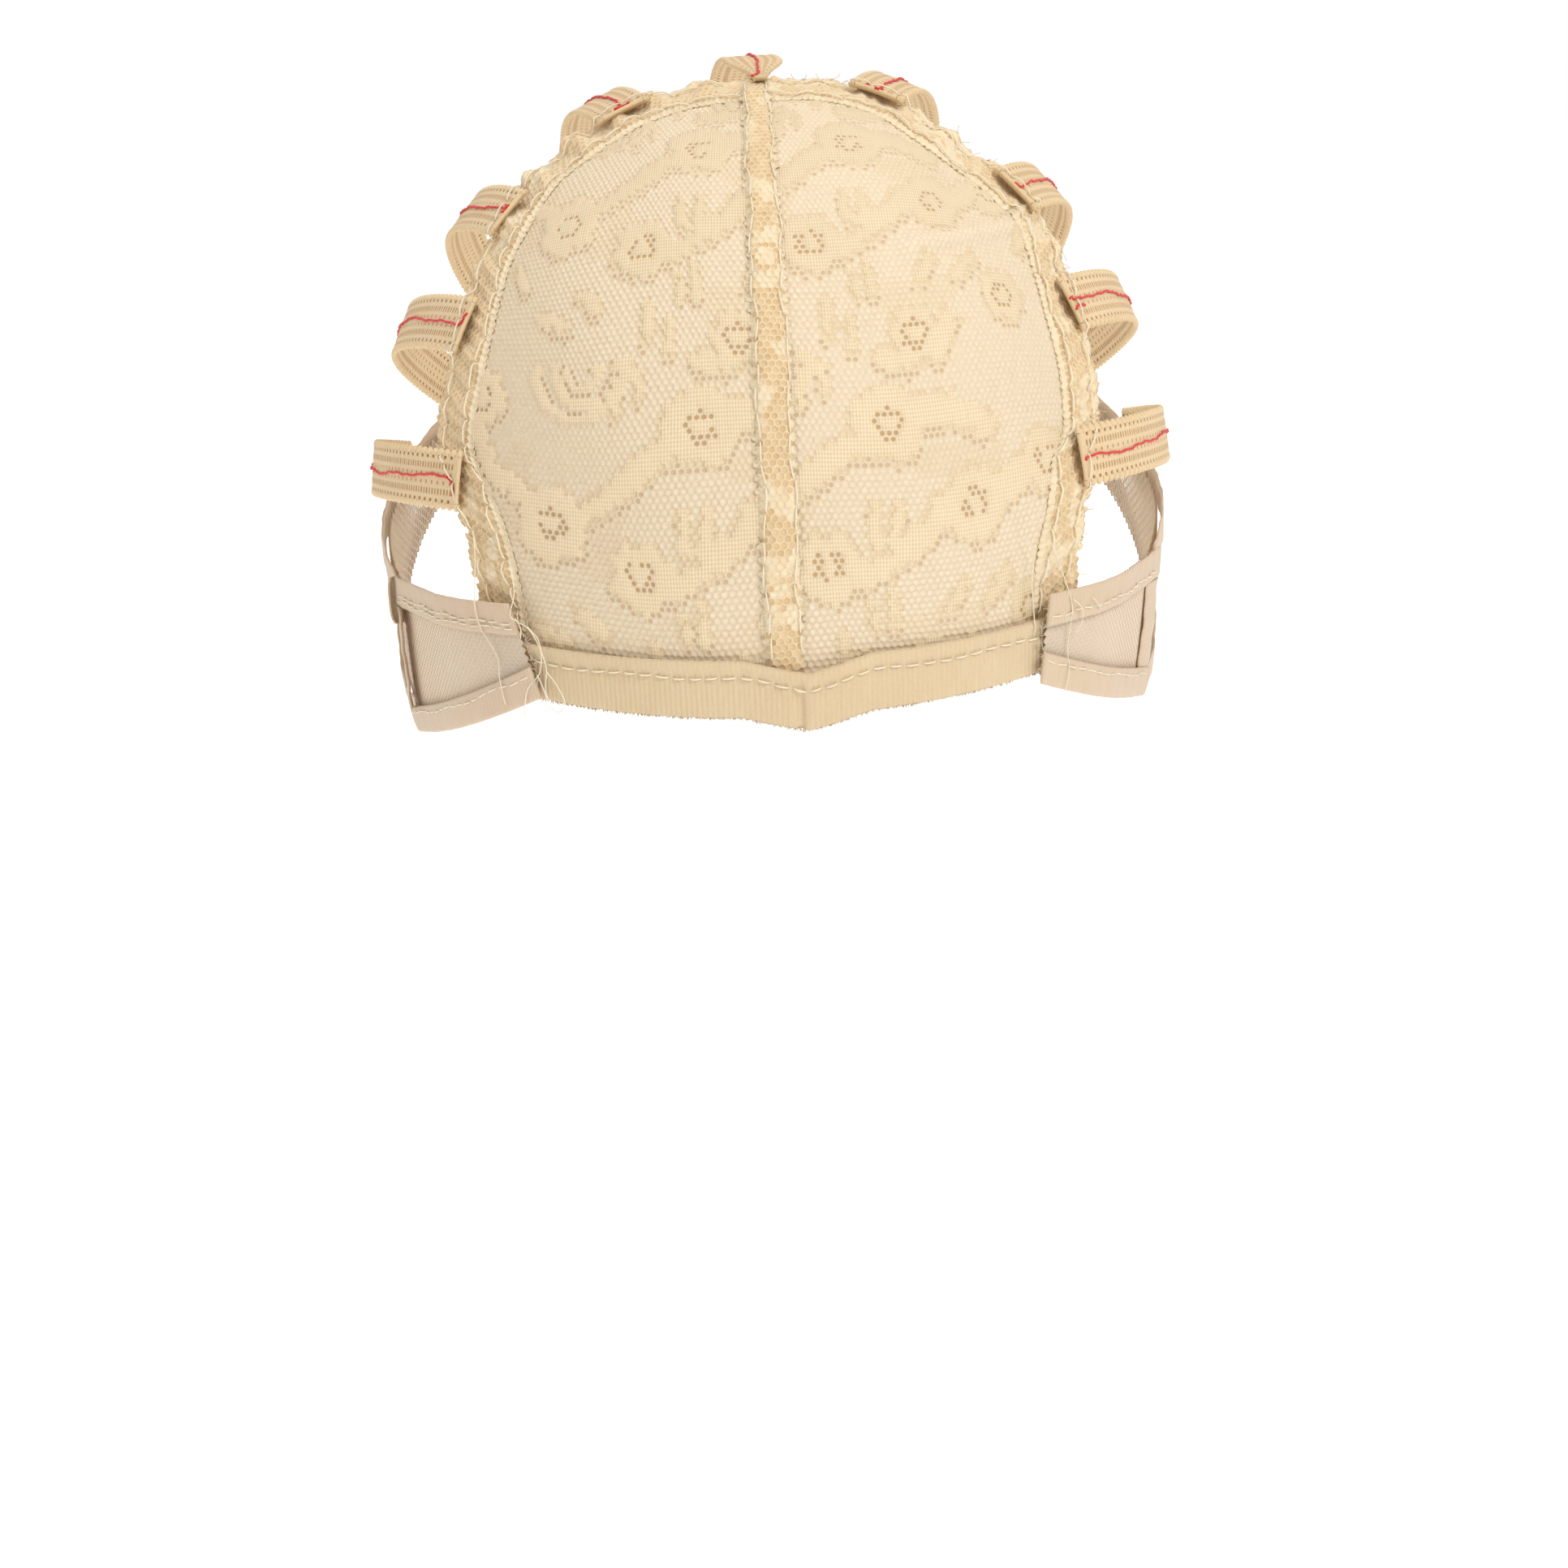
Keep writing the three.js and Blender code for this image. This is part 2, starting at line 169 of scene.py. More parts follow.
HALF_TONES = [  # softly shaded meshes between the motifs, as strokes
    (-8, 22, -4, 34, 3.5),
    (20, 38, 33, 38, 3.0),
    (-27, 26, -24, 40, 3.0),
    (16, 8, 27, 9, 3.0),
]
# How far a flower's edge reaches between its petals, as a share of its radius, and what a petal adds.
PETAL = {"between": 0.92, "gain": 0.14}
# How far the dense cloth's bounds stray, and how far out the dense cloth, its edge and its painted shadow
# below it reach.
BOUNDS = {"stray": 0.7, "dense": -0.4, "edge": 0.3, "shadow": 0.3}
# These break off where the cloth's roughness, -1 to 1, is below this.
BREAKS = {"shadow": -0.6, "ring": -0.7, "rose": -0.3}
CREASE = {"start": (21, 43.2), "end": (41, 47.5), "height": 1.1, "width": 1.1}

# The hems: lace folded back on itself and crinkled, with a raw scalloped edge outside.
HEM_WIDTH = 10.5
HEM_PITCH = 1.35
HEM_THREAD = 0.36
HEM_TRIM = {"ends": 1, "inner": 0.5, "outer": 4}
HEM_WOBBLE = 0.06
HEM_PATTERN = {"across": 20, "up": 11, "shrink": 0.9}
HEM_STITCH_LINES = (1.8, HEM_WIDTH - 2.2)
SINK = {"depth": 1.0, "width": 4.0}
CLEAR = 0.6
SCALLOP = {"length": 9.0, "depth": 1.5, "least": 0.8}
RUFFLES = [  # share of the run at its middle, half width in shares, height in mm, for either side
    ("left", 0.8, 0.12, 1.5),
    ("left", 0.62, 0.06, 0.8),
    ("right", 0.72, 0.07, 0.7),
    ("right", 0.55, 0.08, 0.5),
]

SEAM_WIDTH = 7.0
SEAM_CLIMB = 0.75
SEAM_ENDS = {"bottom": 0.6, "top": 0.5}
SEAM_PATTERN = {"across": 3, "up": 13}
SEAM_STITCH_LINES = (-2.6, 2.8)

# The nape band: ribs, a rolled top edge, a groove along the stitches and a V fold.
BAND_HEIGHT = 10.8
BAND_BELOW = 7.8
BAND_REACH = 39
BAND_STITCHES = 3.1
BAND_THICKNESS = 1.0
BAND_ROLL = {"down": 0.9, "width": 0.75, "height": 0.35}
BAND_GROOVE = {"width": 0.5, "depth": 0.28}
BAND_ROWS = (  # how far down from its top each row of the band's points lies
    0, 0.15, 0.5, 1.0, 1.5, 1.9, 2.3, 2.8, 3.2, 3.7, 4.4, 5.4, 6.6, 7.8, 9.0, 9.9, 10.4, BAND_HEIGHT)
BAND_PILE = (  # where it stands, down from the top, its way, how many per mm and how long
    (BAND_HEIGHT - 0.3, 1.0, 12, 0.5),
    (0.35, -1.0, 5, 0.4),
)
FOLD = {"side": 2.6, "spread": 8, "drop": 2.4, "ridge": 1.2}
FOLD_CREASE = {"beside": 0.9, "width": 0.8, "depth": 0.8, "full_at": 6}
RIB = {"pitch": 0.92, "height": 0.16, "samples": 6}

TAB_CORNERS = {  # the tabs' corners, angles sideways and up from the middle of the back
    "left": {"nape": ((35.2, 0.4), (31.3, -11.2)), "ear": ((64.5, -2), (66, -30))},
    "right": {"nape": ((34.7, -1.5), (33.2, -12.8)), "ear": ((66, -3.4), (62, -27.3))},
}
TAB_DROP = (0.34, 0.8)
RIBBON_WIDTH = 6.0
RIBBON_THICKNESS = {"middle": 0.5, "shoulder": 0.4, "edge": 0}
RIBBON_COLUMNS = (0, 0.04, 0.12, 0.3, 0.5, 0.7, 0.88, 0.96, 1)
CORNER_RADIUS = {"left": 5.5, "right": 1.5}
END_CURL = {"left": 1.3, "right": -0.7}
TAB_NET_PITCH = 1.5
TAB_NET_THREAD = 0.22
TAB_STITCH_LINES = {"left": (3.6, 4.6), "right": (4.2,)}
TAB_LOW_STITCHES = 4.6
# The loop at the left tab: where it runs down the tab's end, and how round and thick it is.
TAB_LOOP = {"start": 0.3, "end": 9.8, "middle": 5, "half": 5.2, "radius": 1.5, "thickness": 0.45}
FRONT_NET_PITCH = 2.1
FRONT_NET_THREAD = 0.35

FRONT_ENDS = {"mesh": (61.5, 297), "edge": (63.8, 293.5), "inner": (66.8, 294.8)}
FRONT_ROWS = [  # around from the middle of the back, heights of the two edges as shares of the rise
    (58, -0.38, -0.085),
    (78, -0.39, 0.0),
    (96, -0.2, 0.06),
    (114, -0.05, 0.16),
    (131, 0.06, 0.27),
    (150, 0.17, 0.38),
    (166, 0.25, 0.46),
    (180, 0.27, 0.49),
]

STRAPS = [  # name, starts on the left and right as shares of the arch's run, end around the back
    ("lower", 0.235, 0.23, 101),
    ("middle", 0.46, 0.456, 121),
    ("upper", 0.632, 0.632, 136),
    ("crown", 0.852, 0.878, 154),
]
TOP_STRAP = {"side": 1.2, "around": 186}
PINCH = {"strap_top": {"length": 18.0, "least": 0.24, "shift": 0.5}}
STRAP_WIDTH = 11.0
STRAP_ON_HEM = 5.0
STRAP_ON_FRONT = 8.0
LIP = {"length": 1.2, "height": 0.7}
PICOT = {"pitch": 2.3, "depth": 1.3, "sharpness": 0.8, "from": 0.72}
STRAP_KNIT = (  # one picot of the strap, from its edge to its middle: o is a hole
    "......",
    "......",
    "......",
    "..oo..",
    "......",
    "......",
    ".o..o.",
    ".o..o.",
    "......",
    "......",
    "..o...",
    "......",
)
# The fullness at the points round a strap's holes: a darker colour there, painted shade.
HOLE_RIM_SHADE = 0.6
STRAP_PLAIN_END = 7
STRAP_PLAIN_FAR_END = 3
STRAP_THICKNESS = {"web": 0.7, "lump": 0.12, "edge": 0.45}
STRAP_CORD = {"at": 0.86, "width": 0.09, "height": 0.35}
RED_RADIUS = 0.24
RED_LIFT = 0.62
RED_ENDS = {  # how each red thread ends on the lace: along its strap and across it, in mm
    "strap_lower_left": [(1.7, 2.8), (1.8, 1.4), (2.6, 0.3)],
    "strap_lower_right": [(0.4, -0.6), (2.0, -0.2)],
    "strap_middle_left": [(-0.4, -1.8), (0.5, -0.9), (1.6, -0.2)],
    "strap_middle_right": [(-1.0, 0.6), (0.6, 0.9), (2.0, 0.4)],
    "strap_upper_left": [(1.2, -1.2), (1.6, -0.4)],
    "strap_upper_right": [(1.4, 1.0), (1.5, 0.4)],
    "strap_crown_left": [(0.3, 1.4), (0.8, 0.4)],
    "strap_crown_right": [(0.6, -1.2), (0.9, -0.3)],
    "strap_top": [(1.0, 2.2), (2.2, 1.4)],
}
RED_BITS = {  # short cut ends beside the threads, in the same way
    "strap_middle_right": [[(-0.6, -1.6), (1.0, -1.0), (3.4, -0.9), (5.2, -1.2)]],
    "strap_upper_left": [[(0.3, 0.9), (1.6, -0.1), (3.0, -1.1)]],
    "strap_crown_left": [[(0.5, -1.6), (1.4, -0.2), (2.0, 1.3)]],
    "strap_crown_right": [
        [(0.7, 1.8), (1.3, 2.1), (2.9, 2.2)],
        [(-0.9, 0.1), (-0.5, -0.3), (-1.0, -0.6)],
    ],
}
LOOSE_THREADS = [  # angles sideways and up, and the height above the hollow, along each thread
    [(-42.5, 8.4, 2.4), (-41.5, 5.0, 3.4), (-40.6, -0.5, 5.3), (-40.0, -3.2, 5.3), (-38.2, -7.2, 4.2),
     (-37.4, -9.8, 5.3), (-36.8, -13.0, 5.4)],
    [(-36.2, 5.2, 2.3), (-35.0, 1.5, 3.4), (-34.6, -1.0, 5.4), (-33.4, -1.6, 5.5), (-32.0, -2.2, 5.4),
     (-31.0, -4.8, 4.4), (-30.4, -7.4, 4.2), (-30.6, -9.9, 4.6), (-30.3, -11.6, 4.4)],
    [(-32.1, -2.0, 5.4), (-31.0, -3.8, 4.6), (-31.3, -7.8, 4.4), (-32.9, -10.2, 5.4), (-33.7, -13.8, 5.6)],
    [(-33.9, -1.2, 5.4), (-33.2, -2.2, 5.4), (-33.5, -3.8, 5.0)],
    [(-31.2, -8.0, 5.4), (-30.5, -9.4, 5.5), (-30.1, -10.9, 5.4)],
    [(-30.0, -7.6, 4.8), (-28.8, -9.2, 4.6), (-28.0, -11.4, 4.4), (-28.9, -12.6, 4.6), (-30.0, -12.0, 4.8)],
    [(36.6, 4.4, 2.4), (37.0, 2.3, 3.4), (38.1, -3.6, 5.3), (38.4, -6.3, 4.6), (38.2, -9.4, 4.2),
     (37.7, -12.4, 5.3), (36.9, -14.9, 5.5)],
    [(38.2, -2.8, 5.4), (39.6, -4.4, 5.7), (39.9, -6.2, 5.4), (39.0, -7.7, 5.0)],
    [(42.0, -3.6, 5.4), (42.8, -4.6, 5.6), (43.6, -5.6, 5.4)],
    [(32.4, 5.6, 2.4), (33.6, 3.9, 2.5), (33.0, 0.1, 2.7), (33.1, -2.4, 2.9), (33.4, -6.6, 3.0)],
]
LOOSE_RADIUS = 0.1

STITCH = {  # in mm, for each row: how long a stitch is, and how far it stands out and strays
    "hem": {"length": 4.6, "gap": 0.4, "radius": 0.16, "height": 0.25, "waver": 0.2},
    "seam": {"length": 4.2, "gap": 0.4, "radius": 0.15, "height": 0.25, "waver": 0.18},
    "band": {"length": 2.3, "gap": 0.8, "radius": 0.16, "height": 0.25, "waver": 0.1},
    "tab": {"length": 2.4, "gap": 0.8, "radius": 0.15, "height": 0.15, "waver": 0.12},
}
STITCH_SHAPE = {  # shares of the way along a stitch, and its height there as shares of its own
    "along": (0, 0.12, 0.35, 0.65, 0.88, 1),
    "up": (-1.6, 0.2, 1, 1, 0.2, -1.6),
}
STITCH_UNEVEN = (0.85, 1.15)
STITCH_LINE_STEP = 0.7
STITCH_LIFT = {"hem": 0.5, "over_strap": 0.75, "seam": 0.35, "band": 0.62, "tab": 0.35}
WAVES = {  # how high each wave of a line is, in mm, and how many radians it turns for each mm or degree
    "hem_stitches": ((0.5, 0.19), (0.25, 0.47)),
    "seam_stitches": ((0.35, 0.23), (0.2, 0.61)),
    "band_stitches": ((0.25, 0.4),),
    "tab_stitches": ((0.2, 0.5),),
    "tab_low_stitches": ((0.2, 0.4),),
    "ribbon": ((0.1, 0.55), (0.06, 1.3)),
    "red_thread": ((0.45, 0.09), (0.22, 0.31), (0.1, 1.1)),
    "red_lift": ((0.1, 1.9),),
}
BENT = {  # how far waves turn for each mm, and how far and how often another wave bends them
    "rough_across": {"turn": 1.9, "bend": 2.3, "bend_turn": 0.9},
    "rough_up": {"turn": 1.6, "bend": 1.7, "bend_turn": 1.1},
    "hem_crinkle": {"turn": 0.62, "bend": 0.9, "bend_turn": 0.11},
    "hem_fine_crinkle": {"turn": 1.7, "bend": 1.5, "bend_turn": 0.31},
    "hem_uneven": {"turn": 0.8, "bend": 2, "bend_turn": 0.7},
}
HEM_CRINKLE = {"height": 0.3, "fine": 0.2, "fine_lean": 0.9, "least": -0.35}
FRAY = {  # the fibres of each frayed edge: how thick they are, in mm, and how much they curl
    "hem": {"radius": 0.07, "curl": 1.2, "seed": 4},
    "band": {"radius": 0.05, "curl": 0.6, "seed": 5},
    "tab": {"radius": 0.06, "curl": 0.8, "seed": 6},
}
# How many fibres there are for each millimetre of a cut edge, and how long they are.
WISPS = {"per_mm": 0.8, "shortest": 0.4, "longest": 1.6}
TAB_FRAY = {"per_mm": 2.4, "shortest": 0.5, "longest": 1.5}
FIBRE_STEPS = (0, 0.35, 0.7, 1)


def levelled(up):
    """Angles below the widest level, brought to the deeper half of the hollow."""
    return np.where(up < 0, up * RISE / DROP, up)


def from_back(side, up):
    """The directions that lie so many degrees sideways and up from the middle of the back."""
    side, up = np.broadcast_arrays(np.asarray(side, float), np.asarray(up, float))
    height = levelled(up)
    away = np.maximum(np.hypot(side, height), 1e-6)
    spread = np.sin(np.radians(away)) / away
    return np.stack([side * spread, -np.cos(np.radians(away)), height * spread], -1)


def from_round(around, up):
    """The directions at an angle around from the back and a height, a share of the rise."""
    around, up = np.broadcast_arrays(np.asarray(around, float), np.asarray(up, float))
    height = levelled(up)
    level = np.sqrt(1 - height**2)
    turn = np.radians(around)
    return np.stack([level * np.sin(turn), -level * np.cos(turn), height], -1)


def unit(vectors):
    return vectors / np.linalg.norm(vectors, axis=-1, keepdims=True)


def half_sizes(place):
    """The hollow's half sizes on the side of its widest level that each place lies on."""
    sizes = np.empty(place.shape)
    sizes[..., 0] = HALF_WIDTH
    sizes[..., 1] = HALF_LENGTH
    sizes[..., 2] = np.where(place[..., 2] < 0, DROP, RISE)
    return sizes


def above(direction, distance):
    """Points so far above the hollow, and the way out from it there."""
    sizes = half_sizes(direction)
    outward = unit(direction / sizes)
    points = direction * sizes + outward * np.asarray(distance, float)[..., None]
    points[..., 2] -= CENTRE_DOWN
    return points, outward


def on_hollow(side, up):
    """The hollow's points at angles sideways and up from the middle of the back."""
    return above(from_back(side, up), 0.0)[0]


def curve_through(rows, shares):
    """Points at shares of the way along a smooth curve through rows of numbers."""
    rows = np.array(rows, float)
    padded = np.vstack([2 * rows[0] - rows[1], rows, 2 * rows[-1] - rows[-2]])
    place = np.clip(np.asarray(shares, float), 0, 1) * (len(rows) - 1)
    index = np.minimum(place.astype(int), len(rows) - 2)
    t = (place - index)[..., None]
    before, start, end, after = (padded[index + step] for step in range(4))
    knots = [np.sqrt(np.linalg.norm(b - a, axis=-1, keepdims=True))
             for a, b in ((before, start), (start, end), (end, after))]
    first, middle, last = knots
    leave = ((start - before) / first - (end - before) / (first + middle) + (end - start) / middle) * middle
    arrive = ((end - start) / middle - (after - start) / (middle + last) + (after - end) / last) * middle
    bend = -3 * start + 3 * end - 2 * leave - arrive
    twist = 2 * start - 2 * end + leave + arrive
    return start + t * (leave + t * (bend + t * twist))


def lengths_along(points):
    """How far each of a line of points lies from the first, along the line."""
    steps = np.linalg.norm(np.diff(points, axis=0), axis=1)
    return np.concatenate([[0], np.cumsum(steps)])


def smoothstep(value, low, high):
    share = np.clip((value - low) / (high - low), 0, 1)
    return share * share * (3 - 2 * share)


def mix(start, end, share):
    return start + (end - start) * share


def waves(name, place, shifts=(0, 0, 0)):
    """How far a line strays at places along it, each of its waves shifted by so many radians."""
    rows = zip(WAVES[name], shifts)
    return sum(height * np.sin(place * turn + shift) for (height, turn), shift in rows)


def bent_wave(name, place, other, shift=0):
    """A wave from -1 to 1 along a place, bent by a wave along another."""
    wave = BENT[name]
    return np.sin(place * wave["turn"] + shift + wave["bend"] * np.sin(other * wave["bend_turn"]))


def to_line(x, y, x0, y0, x1, y1):
    """How far each place lies from the line between two others."""
    along_x, along_y = x1 - x0, y1 - y0
    share = np.clip(((x - x0) * along_x + (y - y0) * along_y) / (along_x**2 + along_y**2), 0, 1)
    return np.hypot(x - x0 - share * along_x, y - y0 - share * along_y)


class Cloth:
    """Parts of one mesh: points, faces, and the place of each point in its cloth."""

    def __init__(self):
        self.points = []
        self.faces = []
        self.fabric = []
        self.count = 0

    def add(self, points, faces, fabric):
        self.points.append(points)
        self.fabric.append(fabric)
        self.faces.extend(tuple(corner + self.count for corner in face) for face in faces)
        self.count += len(points)


def new_object(name, data):
    made = bpy.data.objects.new(name, data)
    bpy.context.scene.collection.objects.link(made)
    return made


def add_piece(name, cloth, material, replaced=None):
    """A mesh from a cloth, in metres, which rides on the part and may stand for one of its nodes."""
    points = np.concatenate(cloth.points) * METRE
    fabric = np.concatenate(cloth.fabric)
    used, faces = np.unique(np.concatenate([np.array(face) for face in cloth.faces]), return_inverse=True)
    ends = np.cumsum([len(face) for face in cloth.faces])
    mesh = bpy.data.meshes.new(name)
    mesh.vertices.add(len(used))
    mesh.vertices.foreach_set("co", points[used].astype(np.float32).ravel())
    mesh.loops.add(len(faces))
    mesh.loops.foreach_set("vertex_index", faces.astype(np.int32))
    mesh.polygons.add(len(ends))
    mesh.polygons.foreach_set("loop_start", np.concatenate([[0], ends[:-1]]).astype(np.int32))
    mesh.update(calc_edges=True)
    mesh.shade_smooth()
    mesh.attributes.new("fabric", "FLOAT_VECTOR", "POINT").data.foreach_set(
        "vector", fabric[used].astype(np.float32).ravel())
    mesh.materials.append(material)
    piece = new_object(name, mesh)
    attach(piece, "root")
    if replaced:
        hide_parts(replaced)
    return piece


def stand_in(node, kind, cloth, material):
    """A piece that stands for a node and is named after it."""
    return add_piece(f"{node}_{kind}", cloth, material, node)


def thicken(cloth, faces, middle, outward, thickness, fabric):
    """Adds a closed cloth over faces that share corners. Where the thickness is 0 it comes to an edge."""
    count = len(middle)
    half = outward * (thickness / 2)[:, None]
    welded = thickness <= 0
    below = np.where(welded, np.arange(count), np.arange(count) + count)
    starts = np.concatenate([group.ravel() for group in faces])
    ends = np.concatenate([np.roll(group, -1, axis=1).ravel() for group in faces])
    free = ~np.isin(starts * count + ends, ends * count + starts) & ~(welded[starts] & welded[ends])
    walls = np.stack([ends[free], starts[free], below[starts[free]], below[ends[free]]], 1)
    upper = [tuple(face) for group in faces for face in group.tolist()]
    lower = [tuple(face) for group in faces for face in below[group][:, ::-1].tolist()]
    closing = [tuple(dict.fromkeys(wall)) for wall in walls.tolist()]
    cloth.add(np.concatenate([middle + half, middle - half]), upper + lower + closing,
              np.concatenate([fabric, fabric]))


def grid_cloth(cloth, middle, outward, thickness, fabric, holes=None):
    """Adds a closed cloth over a grid of points, with squares left out where holes says so."""
    rows, columns = middle.shape[:2]
    index = np.arange(rows * columns).reshape(rows, columns)
    squares = np.stack([index[:-1, :-1], index[1:, :-1], index[1:, 1:], index[:-1, 1:]], -1)
    ahead = middle[1, 0] - middle[0, 0]
    beside = middle[0, 1] - middle[0, 0]
    if np.cross(ahead, beside) @ outward[0, 0] < 0:
        squares = squares[..., ::-1]
    kept = squares.reshape(-1, 4) if holes is None else squares[~holes]
    thicken(cloth, [kept], middle.reshape(-1, 3), outward.reshape(-1, 3),
            thickness.ravel(), fabric.reshape(-1, 3))


HEXAGON = {"sides": 6, "turn": 30, "reach": 1 / math.sqrt(3), "row": math.sqrt(3) / 2}
DIAMOND = {"sides": 4, "turn": 0, "reach": 0.5, "row": 0.5}


def mesh_centres(shape, pitch, low, high):
    """The centres of a net's meshes between two corners of a rectangle, every other row shifted."""
    rows = np.arange(math.floor(low[1] / (pitch * shape["row"])), high[1] / (pitch * shape["row"]) + 1)
    columns = np.arange(math.floor(low[0] / pitch), high[0] / pitch + 1)
    row, column = np.meshgrid(rows, columns, indexing="ij")
    x = (column + 0.5 * (row % 2)) * pitch
    return np.stack([x.ravel(), (row * pitch * shape["row"]).ravel()], -1)


def net(cloth, shape, pitch, thread, centres, full, surface, opening, holes=False, wobble=0.03):
    """Adds a net of threads round its meshes, each closed by a thin web below the threads, or open.

    full says how full each mesh is, which also sets the colour of its web or hole rim, darker as painted
    shade when low;
    surface(x, y) gives points and the way out there, and opening is the share of the pitch that the emptiest
    mesh is wide and what a full one gains.
    """
    rng = np.random.default_rng(3)
    turns = np.radians(shape["turn"] + 360 / shape["sides"] * np.arange(shape["sides"]))
    spokes = np.stack([np.cos(turns), np.sin(turns)], -1) * pitch * shape["reach"]
    corners = centres[:, None, :] + spokes
    step = np.array([pitch / 2, pitch * shape["reach"] / 2])
    keys = np.round(corners / step).astype(int)
    code = keys[..., 0] * 100003 + keys[..., 1]
    _, first, ids = np.unique(code.ravel(), return_index=True, return_inverse=True)
    ids = ids.reshape(code.shape)
    knots = corners.reshape(-1, 2)[first] + rng.normal(0, wobble * pitch, (len(first), 2))
    meshes = full < 1
    share = opening[0] + opening[1] * full[meshes]
    inner = centres[meshes, None, :] + spokes * share[:, None, None]
    inner = inner + rng.normal(0, wobble * pitch / 2, inner.shape)
    inner_ids = len(knots) + np.arange(inner.shape[0] * shape["sides"]).reshape(-1, shape["sides"])
    outer = ids[meshes]
    bands = np.stack([outer, np.roll(outer, -1, 1), np.roll(inner_ids, -1, 1), inner_ids], -1)
    places = np.concatenate([knots, inner.reshape(-1, 2)])
    fullness = np.full(len(places), THREAD_FULL)
    fullness[ids[~meshes].ravel()] = 1
    fullness[len(knots):] = np.repeat(full[meshes], shape["sides"])
    middle, outward = surface(places[:, 0], places[:, 1])
    thickness = np.full(len(places), thread) + DENSE_RELIEF * (fullness == 1)
    faces = [bands.reshape(-1, 4), ids[~meshes]]
    if holes:
        thickness[len(knots):] = 0
    else:
        thickness[len(knots):] = WEB
        middle[len(knots):] -= outward[len(knots):] * (thread - WEB) / 2
        faces.append(inner_ids)
    probe = [surface(np.array([x]), np.array([y]))[0][0] for x, y in ((0, 20), (1, 20), (0, 21))]
    if np.cross(probe[1] - probe[0], probe[2] - probe[0]) @ outward[0] < 0:
        faces = [group[:, ::-1] for group in faces]
    fabric = np.column_stack([places, fullness])
    thicken(cloth, [group for group in faces if len(group)], middle, outward, thickness, fabric)


def tube(cloth, path, outward, radius, sides=6):
    """Adds a round thread along a path. outward is roughly square to it, for its turn."""
    ahead = unit(np.gradient(path, axis=0))
    sideways = unit(np.cross(ahead, outward))
    upward = np.cross(sideways, ahead)
    turns = np.radians(360 / sides * np.arange(sides))
    ring = np.cos(turns)[:, None] * sideways[:, None, :] + np.sin(turns)[:, None] * upward[:, None, :]
    points = path[:, None, :] + radius * ring
    index = np.arange(len(path) * sides).reshape(len(path), sides)
    beside = np.roll(index, -1, axis=1)
    skin = np.stack([index[:-1], index[1:], beside[1:], beside[:-1]], -1).reshape(-1, 4)
    faces = [tuple(face) for face in skin.tolist()]
    faces += [tuple(index[0].tolist()), tuple(index[-1][::-1].tolist())]
    around = np.broadcast_to(turns / (2 * math.pi), index.shape)
    run = np.broadcast_to(lengths_along(path)[:, None], index.shape)
    fabric = np.stack([run, around, np.ones(index.shape)], -1).reshape(-1, 3)
    cloth.add(points.reshape(-1, 3), faces, fabric)


def fray(cloth, roots, outward, away, lengths, radius, curl, seed):
    """Adds a loose fibre at each root, which bends as it runs away from the cloth."""
    rng = np.random.default_rng(seed)
    share = np.array(FIBRE_STEPS)[:, None]
    for root, out, way, length in zip(roots, outward, away, lengths):
        sideways = np.cross(way, out)
        lean, bend, lift = rng.uniform(-curl, curl, 3)
        spread = (lean * share + bend * share**2) * sideways
        path = root + length * (share * way + spread + lift * share**2 * out)
        tube(cloth, path, out, radius, sides=3)


def stitches(cloth, line, outward, length, gap, radius, height, waver, seed):
    """Adds a row of stitches along a line of points. Each dips into the cloth at its ends."""
    rng = np.random.default_rng(seed)
    run = lengths_along(line)
    start = 0.0
    while start + length < run[-1]:
        stitch = length * rng.uniform(*STITCH_UNEVEN)
        at = start + stitch * np.array(STITCH_SHAPE["along"])
        path = np.stack([np.interp(at, run, line[:, axis]) for axis in range(3)], -1)
        out = unit(np.stack([np.interp(at, run, outward[:, axis]) for axis in range(3)], -1))
        sideways = unit(np.cross(np.gradient(path, axis=0), out))
        lean = rng.uniform(-waver, waver) + rng.uniform(-waver, waver) * np.linspace(-1, 1, len(at))
        path = path + out * (height * np.array(STITCH_SHAPE["up"]))[:, None]
        path = path + sideways * lean[:, None]
        tube(cloth, path, out, radius)
        start += stitch + gap


def new_material(name):
    material = bpy.data.materials.new(name)
    material.use_nodes = True
    material.node_tree.nodes.clear()
    return material


def fill_inputs(node, values):
    for name, value in values.items():
        node.inputs[name].default_value = value


def math_node(tree, operation, *values):
    node = tree.nodes.new("ShaderNodeMath")
    node.operation = operation
    for socket, value in zip(node.inputs, values):
        if isinstance(value, (int, float)):
            socket.default_value = value
        else:
            tree.links.new(value, socket)
    return node.outputs[0]


def wave_across(tree, place, pitch):
    """A ridge from 0 to 1 that comes back each pitch millimetres of the place."""
    turned = math_node(tree, "MULTIPLY", place, 2 * math.pi / pitch)
    return math_node(tree, "MULTIPLY_ADD", math_node(tree, "SINE", turned), 0.5, 0.5)


def scaled(tree, value, low, high):
    """The value brought from between low and high to between 0 and 1."""
    node = tree.nodes.new("ShaderNodeMapRange")
    fill_inputs(node, {"From Min": low, "From Max": high})
    tree.links.new(value, node.inputs["Value"])
    return node.outputs["Result"]


def noise(tree, vector, scale, detail):
    node = tree.nodes.new("ShaderNodeTexNoise")
    fill_inputs(node, {"Scale": scale, "Detail": detail})
    tree.links.new(vector, node.inputs["Vector"])
    return node.outputs["Fac"]


def mixed(tree, share, first, second):
    """A colour between two others, each a socket or three numbers."""
    node = tree.nodes.new("ShaderNodeMix")
    node.data_type = "RGBA"
    node.clamp_factor = True
    tree.links.new(share, node.inputs["Factor"])
    for socket, colour in ((node.inputs["A"], first), (node.inputs["B"], second)):
        if isinstance(colour, tuple):
            socket.default_value = (*colour, 1)
        else:
            tree.links.new(colour, socket)
    return node.outputs["Result"]


